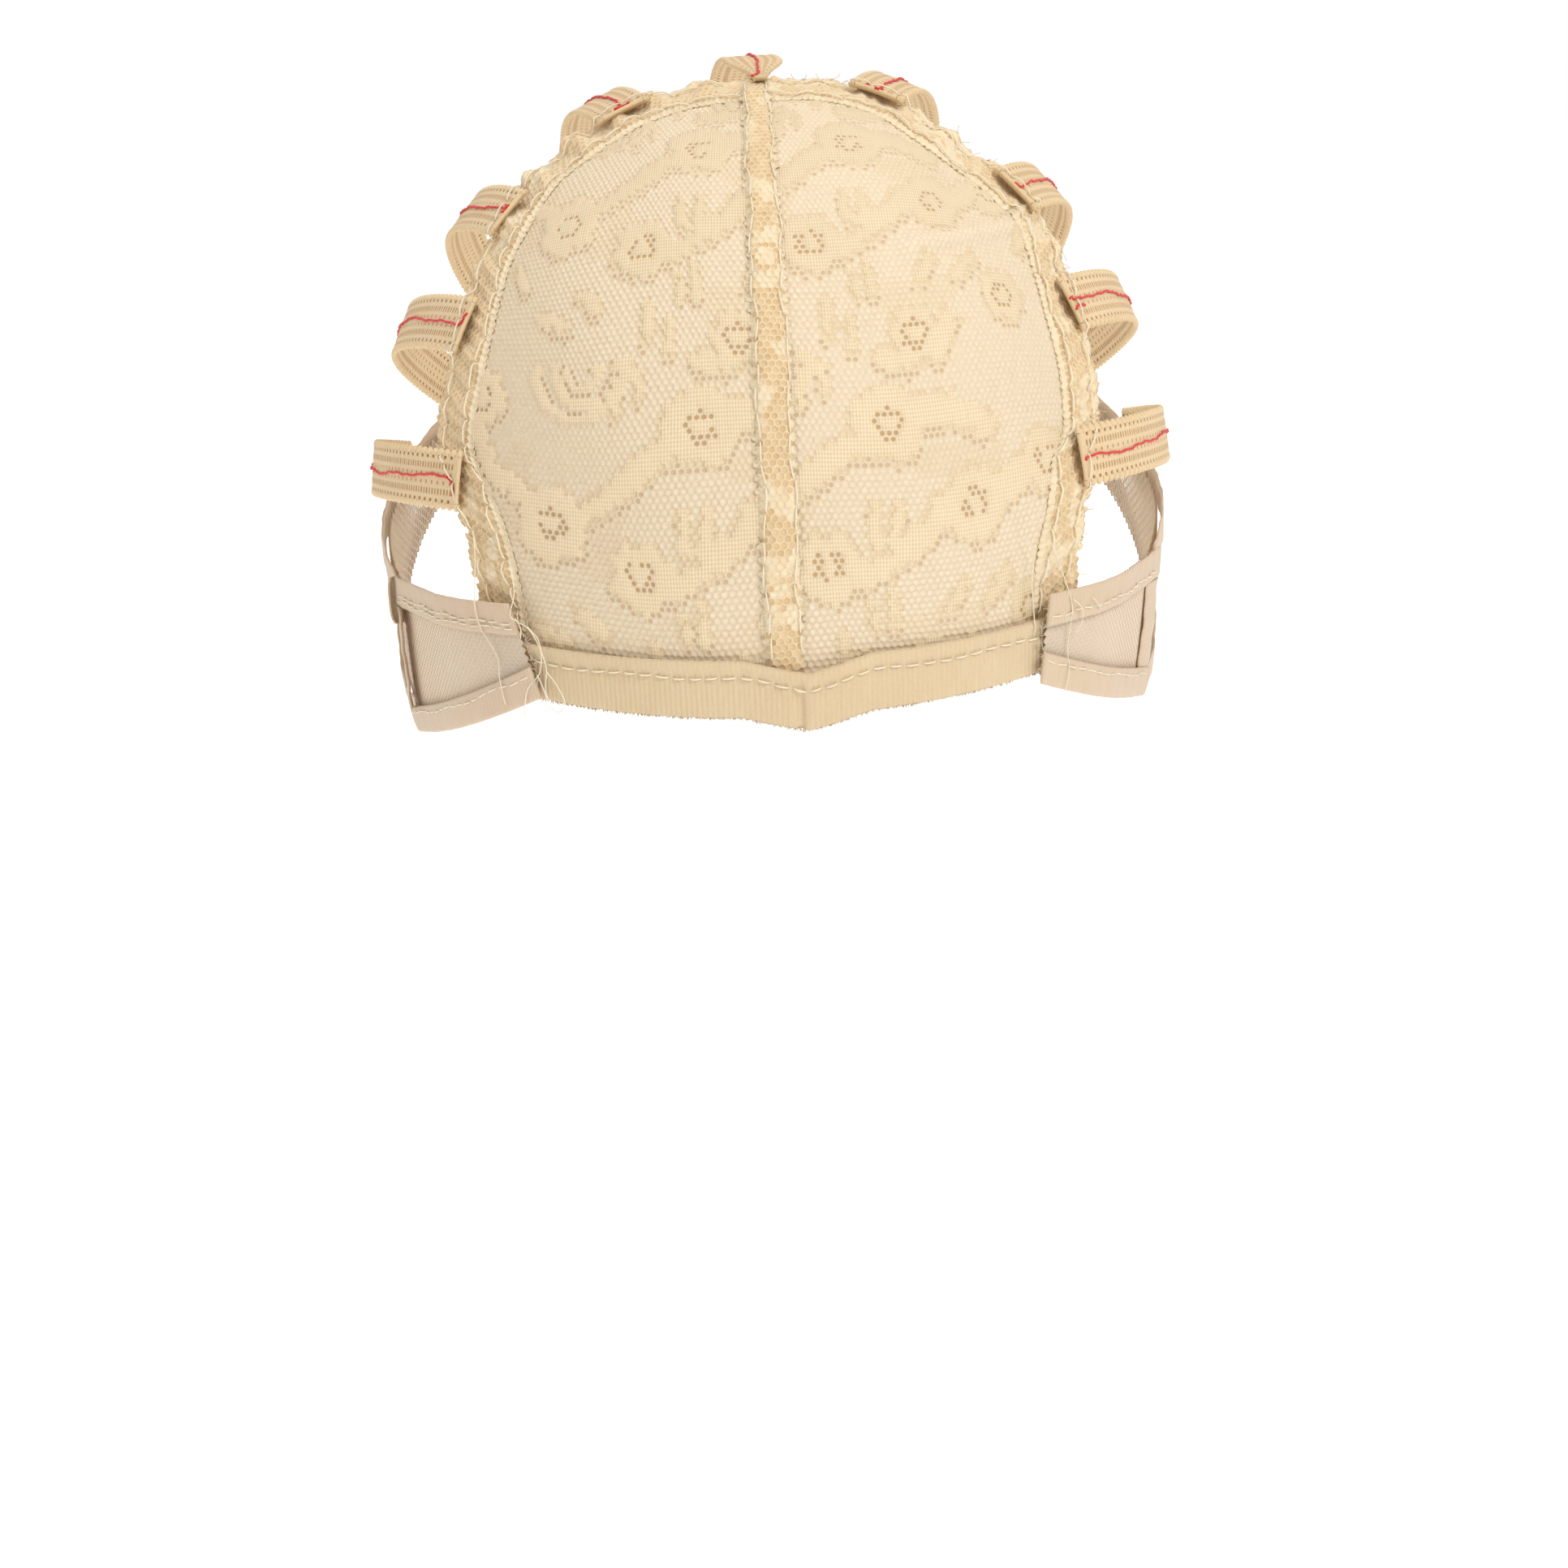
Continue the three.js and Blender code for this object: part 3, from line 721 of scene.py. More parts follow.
def cloth_material(name, colours, pitch, weave, mottle, roughness, sheen, glow):
    """A cloth with threads at a pitch along and across it, mottled.

    Its colours are the lighter and darker of its threads, and for its meshes a pale web and a painted shade
    for darker webs and hole rims.
    """
    tint, shade, pale, web_shade = (linear(*colour) for colour in colours)
    material = new_material(name)
    tree = material.node_tree
    nodes, link = tree.nodes, tree.links.new
    fabric = nodes.new("ShaderNodeAttribute")
    fabric.attribute_name = "fabric"
    split = nodes.new("ShaderNodeSeparateXYZ")
    link(fabric.outputs["Vector"], split.inputs[0])
    ridges = math_node(tree, "MULTIPLY", wave_across(tree, split.outputs[0], pitch[0]), 0.6)
    ridges = math_node(tree, "MULTIPLY_ADD", wave_across(tree, split.outputs[1], pitch[1]), 0.4, ridges)
    centred = math_node(tree, "SUBTRACT", ridges, 0.5)
    woven = math_node(tree, "MULTIPLY", centred, scaled(tree, split.outputs[2], THREAD_FULL, 1))
    place = nodes.new("ShaderNodeTexCoord").outputs["Object"]
    run = nodes.new("ShaderNodeVectorMath")
    run.operation = "MULTIPLY"
    run.inputs[1].default_value = (1.7, 0.25, 0)
    link(fabric.outputs["Vector"], run.inputs[0])
    fibre = noise(tree, place, scale=2600, detail=3)
    # The weave's ridges drive the colour as well as the bump: its grooves get the darker colour, painted
    # shade between the threads. The noises are random tone.
    height = math_node(tree, "MULTIPLY_ADD", woven, weave, math_node(tree, "MULTIPLY", fibre, mottle))
    patches = noise(tree, place, scale=55, detail=4)
    streaks = noise(tree, run.outputs["Vector"], scale=1, detail=2)
    worn = math_node(tree, "ADD", patches, streaks)
    share = math_node(tree, "MULTIPLY_ADD", worn, mottle, height)
    cloth = mixed(tree, share, shade, tint)
    # Painted shade: webs and hole rims go from the pale colour to the shade colour as the fullness falls.
    web = mixed(tree, scaled(tree, split.outputs[2], 0, PALE_FULL), web_shade, pale)
    colour = mixed(tree, scaled(tree, split.outputs[2], PALE_FULL, THREAD_FULL), web, cloth)
    bump = nodes.new("ShaderNodeBump")
    fill_inputs(bump, {"Strength": 0.6, "Distance": 0.00025})
    link(height, bump.inputs["Height"])
    skin = nodes.new("ShaderNodeBsdfPrincipled")
    fill_inputs(skin, {"Roughness": roughness, "Specular IOR Level": 0.25})
    fill_inputs(skin, {"Sheen Weight": sheen, "Sheen Roughness": 0.5})
    link(colour, skin.inputs["Base Color"])
    link(bump.outputs["Normal"], skin.inputs["Normal"])
    through = nodes.new("ShaderNodeBsdfTranslucent")
    link(colour, through.inputs["Color"])
    blend = nodes.new("ShaderNodeMixShader")
    blend.inputs[0].default_value = glow
    link(skin.outputs[0], blend.inputs[1])
    link(through.outputs[0], blend.inputs[2])
    output = nodes.new("ShaderNodeOutputMaterial")
    link(blend.outputs[0], output.inputs["Surface"])
    return material


def linear(red, green, blue):
    """A colour given as 0 to 255 on a screen, as light."""
    return tuple(((value / 255 + 0.055) / 1.055) ** 2.4 for value in (red, green, blue))


# The third and fourth colours of each are for webs and hole rims: pale, and a painted shade for the darker
# ones.
LACE = cloth_material(
    "stretch_lace", ((248, 233, 204), (225, 203, 165), (242, 229, 206), (200, 162, 106)),
    pitch=(0.56, 0.75), weave=1.0, mottle=0.32, roughness=0.85, sheen=0.15, glow=0.25)
HEM_LACE = cloth_material(
    "hem_lace", ((253, 242, 217), (246, 227, 190), (244, 221, 180), (212, 172, 114)),
    pitch=(0.46, 0.52), weave=0.5, mottle=0.32, roughness=0.85, sheen=0.15, glow=0.25)
PLUSH = cloth_material(
    "plush_elastic", ((222, 202, 168), (198, 171, 130), (194, 164, 121), (184, 146, 99)),
    pitch=(0.92, 0.3), weave=0.22, mottle=0.4, roughness=0.95, sheen=0.35, glow=0.1)
ELASTIC = cloth_material(
    "strap_elastic", ((243, 222, 183), (220, 189, 142), (206, 168, 118), (170, 122, 74)),
    pitch=(0.4, 0.45), weave=0.5, mottle=0.3, roughness=0.85, sheen=0.2, glow=0.15)
SATIN = cloth_material(
    "ribbon", ((226, 204, 178), (206, 180, 148), (200, 172, 140), (184, 156, 126)),
    pitch=(0.9, 0.16), weave=0.3, mottle=0.35, roughness=0.5, sheen=0.2, glow=0.15)
NETTING = cloth_material(
    "tab_net", ((214, 187, 153), (190, 158, 122), (240, 227, 208), (180, 148, 116)),
    pitch=(0.3, 0.3), weave=0.4, mottle=0.35, roughness=0.8, sheen=0.15, glow=0.25)
CREAM = cloth_material(
    "cream_thread", ((252, 246, 228), (240, 224, 192), (235, 214, 178), (230, 205, 165)),
    pitch=(0.5, 0.5), weave=0.5, mottle=0.3, roughness=0.7, sheen=0.2, glow=0.2)
RED = cloth_material(
    "red_thread", ((240, 66, 56), (205, 36, 32), (180, 30, 28), (150, 24, 22)),
    pitch=(0.5, 0.5), weave=0.6, mottle=0.3, roughness=0.7, sheen=0.2, glow=0.1)

SIDE_MM = math.radians(1) * HALF_WIDTH
UP_MM = math.radians(1) * RISE


def arch_edge(side_name, along):
    """The lace's arched edge at shares of its run: side, height share, height share on the seam."""
    column = 1 if side_name == "left" else 2
    rows = [(row[column] * LACE_SPREAD, row[0], row[3]) for row in ARCH]
    return curve_through(rows, along)


def lace_angles(side_name, along, across):
    """Angles sideways and up, along the run of the arch and across from the seam, 0, to its edge, 1."""
    edge = arch_edge(side_name, along)
    side = np.maximum(edge[..., 0], 0) * across
    up = mix(LACE_BOTTOM, LACE_TOP, mix(edge[..., 2], edge[..., 1], across))
    return SIDES[side_name] * side, up


def in_repeat(side_name, x, y):
    """Where places on the cloth fall in the floral repeat."""
    return x - REPEAT_SHIFT[side_name], y % REPEAT_HEIGHT


def dense_distance(x, y):
    """How far each place lies outside the dense cloth of the repeat, below 0 inside it."""
    distance = np.full(np.shape(x), 1e3)
    for shift in REPEATS:
        for across, up, radius, petals in FLOWERS:
            reach = np.hypot(x - across, y - up - shift)
            turn = np.arctan2(y - up - shift, x - across)
            petal = np.abs(np.cos(turn * petals / 2 + across))
            edge = radius * (PETAL["between"] + PETAL["gain"] * petal)
            distance = np.minimum(distance, reach - edge)
        for x0, y0, x1, y1, width in STROKES:
            distance = np.minimum(distance, to_line(x, y, x0, y0 + shift, x1, y1 + shift) - width)
    return distance


def lace_fullness(side_name, x, y):
    """How full the lace's meshes are at places on the cloth. 1 is dense cloth; low values give darker webs,
    painted shade.
    """
    x, y = in_repeat(side_name, x, y)
    rough = bent_wave("rough_across", x, y) * bent_wave("rough_up", y, x)
    inside = dense_distance(x, y) + BOUNDS["stray"] * rough
    below = dense_distance(x, y + NET_PITCH)
    full = FULL_GROUND + FULL_ROUGH * rough
    for shift in REPEATS:
        for x0, y0, x1, y1, width in HALF_TONES:
            full[to_line(x, y, x0, y0 + shift, x1, y1 + shift) < width] = FULL_HALF_TONE
    # Painted shadow: a row of darker webs just below the lower edges of the dense cloth.
    full[(below < BOUNDS["shadow"]) & (rough > BREAKS["shadow"])] = FULL_SHADOW
    full[inside < BOUNDS["edge"]] = FULL_EDGE
    full[inside < BOUNDS["dense"]] = 1
    # The flowers' rings of holes and the rose's petal lines are real openwork; their dark webs are painted
    # shade.
    for shift in REPEATS:
        for across, up, _, _ in FLOWERS:
            reach = np.hypot(x - across, y - up - shift)
            full[(np.abs(reach - FLOWER_RING) < RING_WIDTH) & (rough > BREAKS["ring"])] = FULL_RING
        across, up = x - ROSE["across"], y - ROSE["up"] - shift
        for radius, lean in ROSE["petals"]:
            reach = np.hypot((across - lean) * ROSE["narrow"], up)
            petal = (up < ROSE["top"] * radius) & (reach < ROSE["reach"])
            full[(np.abs(reach - radius - ROSE["cloth_out"]) < ROSE["width"]) & petal] = 1
            line = (np.abs(reach - radius) < ROSE["line"]) & (rough > BREAKS["rose"])
            full[line & petal] = FULL_SHADOW
    return full


def lace_surface(lift):
    """The cloth of the lace as surface(x, y), millimetres from the seam and up from its bottom."""
    def surface(x, y):
        grown = smoothstep(np.abs(x), *BOW["grows"])
        bowed_x = x + BOW["across"] * np.sin(y * BOW["turn_up"] + x * BOW["lean_across"]) * grown
        bowed_y = y + BOW["up"] * np.sin(x * BOW["turn_across"] + y * BOW["lean_up"])
        side = bowed_x / SIDE_MM
        up = LACE_BOTTOM + bowed_y / UP_MM
        off = to_line(side, up, *CREASE["start"], *CREASE["end"])
        raised = CREASE["height"] * np.exp(-((off / CREASE["width"]) ** 2))
        return above(from_back(side, up), lift + raised)
    return surface


def inside_arch(side_name, x, y, margin):
    """Whether places on the cloth lie within the lace's arched edge, by a margin in millimetres."""
    along = np.linspace(0, 1, 400)
    side, up = lace_angles(side_name, along, 1.0)
    height = np.maximum.accumulate((up - LACE_BOTTOM) * UP_MM)
    reach = np.interp(y, height, np.abs(side) * SIDE_MM)
    return (np.abs(x) < reach - margin) & (y < height[-1] - margin) & (y > 0)


def lace_panel(side_name):
    sign = SIDES[side_name]
    reach = 1.02 * LACE_SPREAD * SIDE_MM
    top = (LACE_TOP - LACE_BOTTOM) * UP_MM
    low, high = (0, reach) if sign > 0 else (-reach, 0)
    centres = mesh_centres(HEXAGON, NET_PITCH, (low, 0), (high, top))
    x, y = centres.T
    kept = inside_arch(side_name, x, y, NET_PITCH) & (x * sign > NET_PITCH * 0.3)
    full = lace_fullness(side_name, x, y)
    cloth = Cloth()
    net(cloth, HEXAGON, NET_PITCH, NET_THREAD, centres[kept], full[kept], lace_surface(LACE_LIFT),
        OPENING["lace"])
    piece = stand_in(f"lace_panel_{side_name}", "net", cloth, LACE)


def hem_frame(side_name):
    """The run of the hem in millimetres, its share of the arch, and the share of a row it takes."""
    share = np.linspace(0, 1, 600)
    edge = on_hollow(*lace_angles(side_name, share, 1.0))
    probe = 0.02
    inner = on_hollow(*lace_angles(side_name, share, 1 - probe))
    row_mm = np.linalg.norm(edge - inner, axis=1) / probe
    corner = on_hollow(*lace_angles(side_name, share, 1 - HEM_WIDTH / row_mm))
    band_corner = on_hollow(BAND_REACH, -BAND_BELOW / UP_MM)
    clear = corner[:, 2] > band_corner[2] + CLEAR
    return lengths_along(edge[clear]), share[clear], row_mm[clear]


def hem_surface(side_name, lift):
    """The hem as surface(run, inwards), millimetres along the arch and inwards from its edge."""
    run, share, row_mm = hem_frame(side_name)

    def surface(along_mm, inwards):
        share_here = np.interp(along_mm, run, share)
        across = 1 - inwards / np.interp(along_mm, run, row_mm)
        swell = np.zeros(np.shape(share_here))
        for name, centre, width, height in RUFFLES:
            if name == side_name:
                swell = swell + height * np.exp(-(((share_here - centre) / width) ** 2))
        edgeward = smoothstep(HEM_WIDTH - inwards, 0, HEM_WIDTH)
        crinkle = (HEM_CRINKLE["height"] + swell * edgeward) * bent_wave("hem_crinkle", along_mm, along_mm)
        lean = inwards * HEM_CRINKLE["fine_lean"]
        crinkle = crinkle + HEM_CRINKLE["fine"] * bent_wave("hem_fine_crinkle", along_mm, along_mm, lean)
        risen = smoothstep(HEM_WIDTH - inwards, 0, SINK["width"])
        out = lift - SINK["depth"] * (1 - risen) + np.maximum(crinkle, HEM_CRINKLE["least"]) * risen
        return above(from_back(*lace_angles(side_name, share_here, across)), out)

    return surface, run[-1]


def scallop_reach(along_mm):
    """How far the raw edge of the hem reaches outwards."""
    wave = np.abs(np.sin(math.pi * along_mm / SCALLOP["length"]))
    uneven = 0.5 + 0.5 * np.sin(along_mm * 0.21)
    return SCALLOP["least"] + SCALLOP["depth"] * wave * (0.5 + 0.5 * uneven)


def edge_hem(side_name):
    surface, length = hem_surface(side_name, HEM_LIFT)
    centres = mesh_centres(HEXAGON, HEM_PITCH, (0, -HEM_TRIM["outer"]), (length, HEM_WIDTH))
    along_mm, inwards = centres.T
    inner = HEM_WIDTH - HEM_TRIM["inner"]
    kept = (along_mm > HEM_TRIM["ends"]) & (along_mm < length - HEM_TRIM["ends"]) & (inwards < inner)
    kept &= inwards > -scallop_reach(along_mm)
    lace = lace_fullness(side_name, inwards * SIDES[side_name] * -1 + HEM_PATTERN["across"],
                         along_mm * HEM_PATTERN["shrink"] + HEM_PATTERN["up"])
    uneven = 0.12 * bent_wave("hem_uneven", along_mm, inwards) * np.sin(inwards * 1.1 + along_mm * 0.3)
    # Painted shade: the hem's webs are darker than the lace's, the doubled lace's shade.
    full = np.where(lace == 1, FULL_HEM_DENSE, FULL_HEM) + uneven
    full[inwards > inner - HEM_PITCH] = FULL_EDGE
    cloth = Cloth()
    net(cloth, HEXAGON, HEM_PITCH, HEM_THREAD, centres[kept], full[kept], surface, OPENING["hem"],
        wobble=HEM_WOBBLE)
    piece = stand_in(f"edge_hem_{side_name}", "net", cloth, HEM_LACE)


def hem_wisps(side_name):
    """Cut ends of the lace's threads along the raw edge of a hem."""
    rng = np.random.default_rng(11 + SIDES[side_name])
    surface, length = hem_surface(side_name, HEM_LIFT)
    along_mm = np.sort(rng.uniform(2, length - 2, int(length * WISPS["per_mm"])))
    inwards = 0.5 - scallop_reach(along_mm)
    roots, outward = surface(along_mm, inwards)
    away = unit(surface(along_mm + rng.normal(0, 0.5, len(along_mm)), inwards - 1)[0] - roots)
    cloth = Cloth()
    lengths = rng.uniform(WISPS["shortest"], WISPS["longest"], len(roots))
    fray(cloth, roots, outward, away, lengths, **FRAY["hem"])
    add_piece(f"hem_wisps_{side_name}", cloth, HEM_LACE)


def strap_starts(side_name):
    """Where the straps start along a hem, in millimetres of its run."""
    run, share, _ = hem_frame(side_name)
    column = 1 if side_name == "left" else 2
    return [float(np.interp(row[column], share, run)) for row in STRAPS]


def hem_line(side_name, inwards):
    """A line of points along the hem for its stitches, a little wavy, and over the straps it meets."""
    length = hem_surface(side_name, HEM_LIFT)[1]
    along_mm = np.arange(0, length - 1.5, STITCH_LINE_STEP)
    wave = waves("hem_stitches", along_mm, (inwards, 0))
    middle, outward = hem_surface(side_name, HEM_LIFT + STITCH_LIFT["hem"])[0](along_mm, inwards + wave)
    if inwards < STRAP_ON_HEM:
        angles = hem_angles(side_name, along_mm, inwards + wave)
        over = above(from_back(*angles), STRAP_LIFT + STITCH_LIFT["over_strap"])[0]
        for start in strap_starts(side_name):
            near = 1 - smoothstep(np.abs(along_mm - start), STRAP_WIDTH / 2, STRAP_WIDTH / 2 + 1.5)
            middle = mix(middle, over, near[:, None])
    return middle, outward


def hem_angles(side_name, along_mm, inwards):
    """Angles sideways and up on the hem, at millimetres along the arch and inwards from its edge."""
    run, share, row_mm = hem_frame(side_name)
    across = 1 - inwards / np.interp(along_mm, run, row_mm)
    return lace_angles(side_name, np.interp(along_mm, run, share), across)


def band_top(side):
    share = np.clip(1 - np.abs(side - FOLD["side"]) / FOLD["spread"], 0, 1)
    return -(BAND_BELOW + FOLD["drop"] * share) / UP_MM, share


def band_surface(lift):
    """The nape band as surface(side, down), an angle sideways and millimetres down from its top."""
    def surface(side, down):
        top, share = band_top(side)
        return above(from_back(side, top - down / UP_MM), lift + FOLD["ridge"] * share)
    return surface


def nape_band():
    ribs = int(2 * BAND_REACH * SIDE_MM / RIB["pitch"])
    side = np.linspace(-BAND_REACH, BAND_REACH, ribs * RIB["samples"] + 1)
    side_grid, down_grid = np.meshgrid(side, BAND_ROWS, indexing="ij")
    phase = np.arange(len(side)) / RIB["samples"] * 2 * math.pi
    rib = RIB["height"] * np.abs(np.cos(phase / 2))[:, None] * smoothstep(down_grid, 1.6, 3.0)
    roll = BAND_ROLL["height"] * np.exp(-(((down_grid - BAND_ROLL["down"]) / BAND_ROLL["width"]) ** 2))
    groove = BAND_GROOVE["depth"] * np.exp(-(((down_grid - BAND_STITCHES) / BAND_GROOVE["width"]) ** 2))
    beside = (side_grid - FOLD["side"] + FOLD_CREASE["beside"]) * SIDE_MM / FOLD_CREASE["width"]
    crease = FOLD_CREASE["depth"] * np.exp(-(beside ** 2)) * smoothstep(down_grid, 0, FOLD_CREASE["full_at"])
    relief = rib + roll - groove
    middle, outward = band_surface(0.0)(side_grid, down_grid)
    middle = middle + outward * (BAND_LIFT - crease + relief / 2)[..., None]
    thickness = BAND_THICKNESS + relief
    rim = (down_grid == 0) | (down_grid == BAND_HEIGHT)
    thickness[rim] = 0
    fabric = np.stack([side_grid * SIDE_MM, down_grid, np.ones(side_grid.shape)], -1)
    cloth = Cloth()
    grid_cloth(cloth, middle, outward, thickness, fabric)
    stand_in("nape_band", "plush", cloth, PLUSH)


def band_fuzz():
    """The short pile that stands out along the lower edge of the nape band and over its rolled top."""
    rng = np.random.default_rng(17)
    cloth = Cloth()
    surface = band_surface(BAND_LIFT + 0.2)
    for down, way_down, per_mm, length in BAND_PILE:
        side = rng.uniform(-BAND_REACH, BAND_REACH, int(2 * BAND_REACH * SIDE_MM * per_mm))
        roots, outward = surface(side, down + rng.uniform(-0.25, 0.25, len(side)))
        away = unit(surface(side, down + way_down)[0] - roots + outward * 0.3)
        fray(cloth, roots, outward, away, length * rng.uniform(0.5, 1.2, len(side)), **FRAY["band"])
    add_piece("nape_band_pile", cloth, PLUSH)


def seam_surface(lift):
    """The seam's strip as surface(x, y). Its edges lie down on the lace, and its top runs over the hems."""
    hems_start = (LACE_TOP - LACE_BOTTOM) * UP_MM - HEM_WIDTH

    def surface(x, y):
        sunk = smoothstep(np.abs(x), SEAM_WIDTH / 2 - 1.5, SEAM_WIDTH / 2)
        risen = smoothstep(y, hems_start - 1, hems_start + 2)
        return lace_surface(lift - SINK["depth"] * sunk + SEAM_CLIMB * risen)(x, y)

    return surface


def centre_seam():
    bottom = -LACE_BOTTOM * UP_MM - BAND_BELOW - FOLD["drop"] + SEAM_ENDS["bottom"]
    top = (LACE_TOP - LACE_BOTTOM) * UP_MM - SEAM_ENDS["top"]
    centres = mesh_centres(HEXAGON, HEM_PITCH, (-SEAM_WIDTH / 2, bottom), (SEAM_WIDTH / 2, top))
    x, y = centres.T
    kept = (np.abs(x) < SEAM_WIDTH / 2) & (y > bottom) & (y < top)
    lace = lace_fullness("left", x + SEAM_PATTERN["across"], y + SEAM_PATTERN["up"])
    # Painted shade: the seam's webs are darker, like the hems'.
    full = np.where(lace == 1, FULL_HEM_DENSE, FULL_HEM)
    full = full + 0.1 * np.sin(y * 0.9) * np.sin(x * 1.3 + y * 0.2)
    full[np.abs(x) > SEAM_WIDTH / 2 - HEM_PITCH / 2] = FULL_EDGE
    cloth = Cloth()
    net(cloth, HEXAGON, HEM_PITCH, HEM_THREAD, centres[kept], full[kept], seam_surface(SEAM_LIFT),
        OPENING["hem"], wobble=HEM_WOBBLE)
    stand_in("centre_seam", "net", cloth, HEM_LACE)


def tab_angles(side_name, along, down):
    """Angles sideways and up on a tab, along it from the nape and down from its top edge."""
    nape, ear = (np.array(TAB_CORNERS[side_name][end]) for end in ("nape", "ear"))
    along, down = np.broadcast_arrays(np.asarray(along, float), np.asarray(down, float))
    corners = mix(nape[:, None], ear[:, None], along.ravel()[None, :, None])
    place = mix(corners[0], corners[1], down.ravel()[:, None]).reshape(*along.shape, 2)
    return SIDES[side_name] * place[..., 0], place[..., 1]


def tab_lift(along):
    return mix(TAB_AT_NAPE, TAB_AT_EAR, smoothstep(along, *TAB_DROP))


def tab_sizes(side_name):
    """The length of a tab, and its height at shares of its length."""
    share = np.linspace(0, 1, 30)
    middle, top, low = (on_hollow(*tab_angles(side_name, share, down)) for down in (0.5, 0.0, 1.0))
    return lengths_along(middle)[-1], share, np.linalg.norm(top - low, axis=1)


def tab_surface(side_name, rise):
    """A tab as surface(along, down), millimetres from the nape end and down from the top edge."""
    length, share, heights = tab_sizes(side_name)

    def surface(along_mm, down_mm):
        along = along_mm / length
        height = np.interp(along, share, heights)
        return above(from_back(*tab_angles(side_name, along, down_mm / height)), tab_lift(along) + rise)

    return surface, length, lambda along_mm: np.interp(along_mm / length, share, heights)


def tab_mesh(side_name):
    surface, length, height_at = tab_surface(side_name, 0.0)
    height = float(np.max(height_at(np.array([0, length]))))
    centres = mesh_centres(DIAMOND, TAB_NET_PITCH, (0, 0), (length, height))
    along_mm, down_mm = centres.T
    margin = TAB_NET_PITCH / 2
    kept = (along_mm > margin) & (along_mm < length - margin)
    kept &= (down_mm > margin) & (down_mm < height_at(along_mm) - margin)
    # Painted shade: the webs are darkest at the nape end and lighten towards the ear.
    full = FULL_TAB + TAB_FADE * smoothstep(along_mm[kept], 0.25 * length, 0.7 * length)
    cloth = Cloth()
    net(cloth, DIAMOND, TAB_NET_PITCH, TAB_NET_THREAD, centres[kept], full, surface, OPENING["tab"])
    piece = stand_in(f"tab_mesh_{side_name}", "net", cloth, NETTING)


def ribbon_strip(node, surface, run, across, curl=0.0):
    """A satin ribbon over surface(run, across), thin at its edges, a little wavy, one edge curled up."""
    run_grid, share = np.meshgrid(run, RIBBON_COLUMNS, indexing="ij")
    middle, outward = surface(run_grid, across(run_grid, share))
    wave = waves("ribbon", run_grid, (0, share * 2))
    middle = middle + outward * (wave + curl * share**2)[..., None]
    thickness = np.full(run_grid.shape, RIBBON_THICKNESS["middle"])
    thickness[:, [0, -1]] = RIBBON_THICKNESS["edge"]
    thickness[:, [1, -2]] = RIBBON_THICKNESS["shoulder"]
    fabric = np.stack([run_grid, share * RIBBON_WIDTH, np.ones(run_grid.shape)], -1)
    cloth = Cloth()
    grid_cloth(cloth, middle, outward, thickness, fabric)
    stand_in(node, "satin", cloth, SATIN)


def tab_ribbons(side_name):
    surface, length, height_at = tab_surface(side_name, RIBBON_RISE)
    run = np.linspace(0, length, 60)
    corner = CORNER_RADIUS[side_name]

    def rounding(at):
        past = np.clip(at - (length - corner), 0, corner)
        return corner - np.sqrt(corner**2 - past**2)

    ribbon_strip(f"tab_top_ribbon_{side_name}", surface, run, lambda at, share: share * RIBBON_WIDTH)
    ribbon_strip(f"tab_bottom_ribbon_{side_name}", surface, run,
                 lambda at, share: height_at(at) - (1 - share) * RIBBON_WIDTH - share * rounding(at))
    low = RIBBON_WIDTH + 0.2
    end_height = float(height_at(np.array(length - RIBBON_WIDTH / 2)))
    ribbon_strip(f"tab_end_ribbon_{side_name}", lambda at, out: surface(out, at),
                 np.linspace(low, end_height - low, 40),
                 lambda at, share: length - share * RIBBON_WIDTH, curl=END_CURL[side_name])


def tab_fray(side_name):
    """The raw threads along a tab's cut edge beside the nape band."""
    rng = np.random.default_rng(23 + SIDES[side_name])
    surface, _, height_at = tab_surface(side_name, RIBBON_RISE)
    height = float(height_at(np.array(0.0)))
    down = rng.uniform(0.3, height - 0.3, int(height * TAB_FRAY["per_mm"]))
    on_ribbon = (down < RIBBON_WIDTH) | (down > height - RIBBON_WIDTH)
    roots, outward = surface(np.full(len(down), 0.4), down)
    roots = roots - outward * np.where(on_ribbon, 0, RIBBON_RISE)[:, None]
    beyond = surface(np.full(len(down), -0.6), down + rng.normal(0, 0.5, len(down)))[0]
    away = unit(beyond - surface(0.4, down)[0])
    cloth = Cloth()
    lengths = rng.uniform(TAB_FRAY["shortest"], TAB_FRAY["longest"], len(down))
    fray(cloth, roots, outward, away, lengths, **FRAY["tab"])
    add_piece(f"tab_fray_{side_name}", cloth, CREAM)


def tab_loop():
    """The end of the left tab's ribbon, folded into a small loop beside its upper far corner."""
    surface, length, _ = tab_surface("left", RIBBON_RISE)
    turns = np.radians(np.linspace(-90, 90, 13))
    turn, down = np.meshgrid(turns, np.linspace(TAB_LOOP["start"], TAB_LOOP["end"], 12), indexing="ij")
    shrink = np.sqrt(np.clip(1 - ((down - TAB_LOOP["middle"]) / TAB_LOOP["half"]) ** 4, 0, 1))
    bulge = TAB_LOOP["radius"] * shrink
    middle, outward = surface(length - 0.3 + bulge * np.cos(turn), down)
    ahead = unit(surface(length + 0.5, TAB_LOOP["middle"])[0] - surface(length, TAB_LOOP["middle"])[0])
    middle = middle + outward * (bulge * np.sin(turn))[..., None]
    around = outward * np.sin(turn)[..., None] + ahead * np.cos(turn)[..., None]
    fabric = np.stack([down, turn * 1.4, np.ones(turn.shape)], -1)
    cloth = Cloth()
    grid_cloth(cloth, middle, around, np.full(turn.shape, TAB_LOOP["thickness"]), fabric)
    add_piece("tab_loop_left", cloth, SATIN)


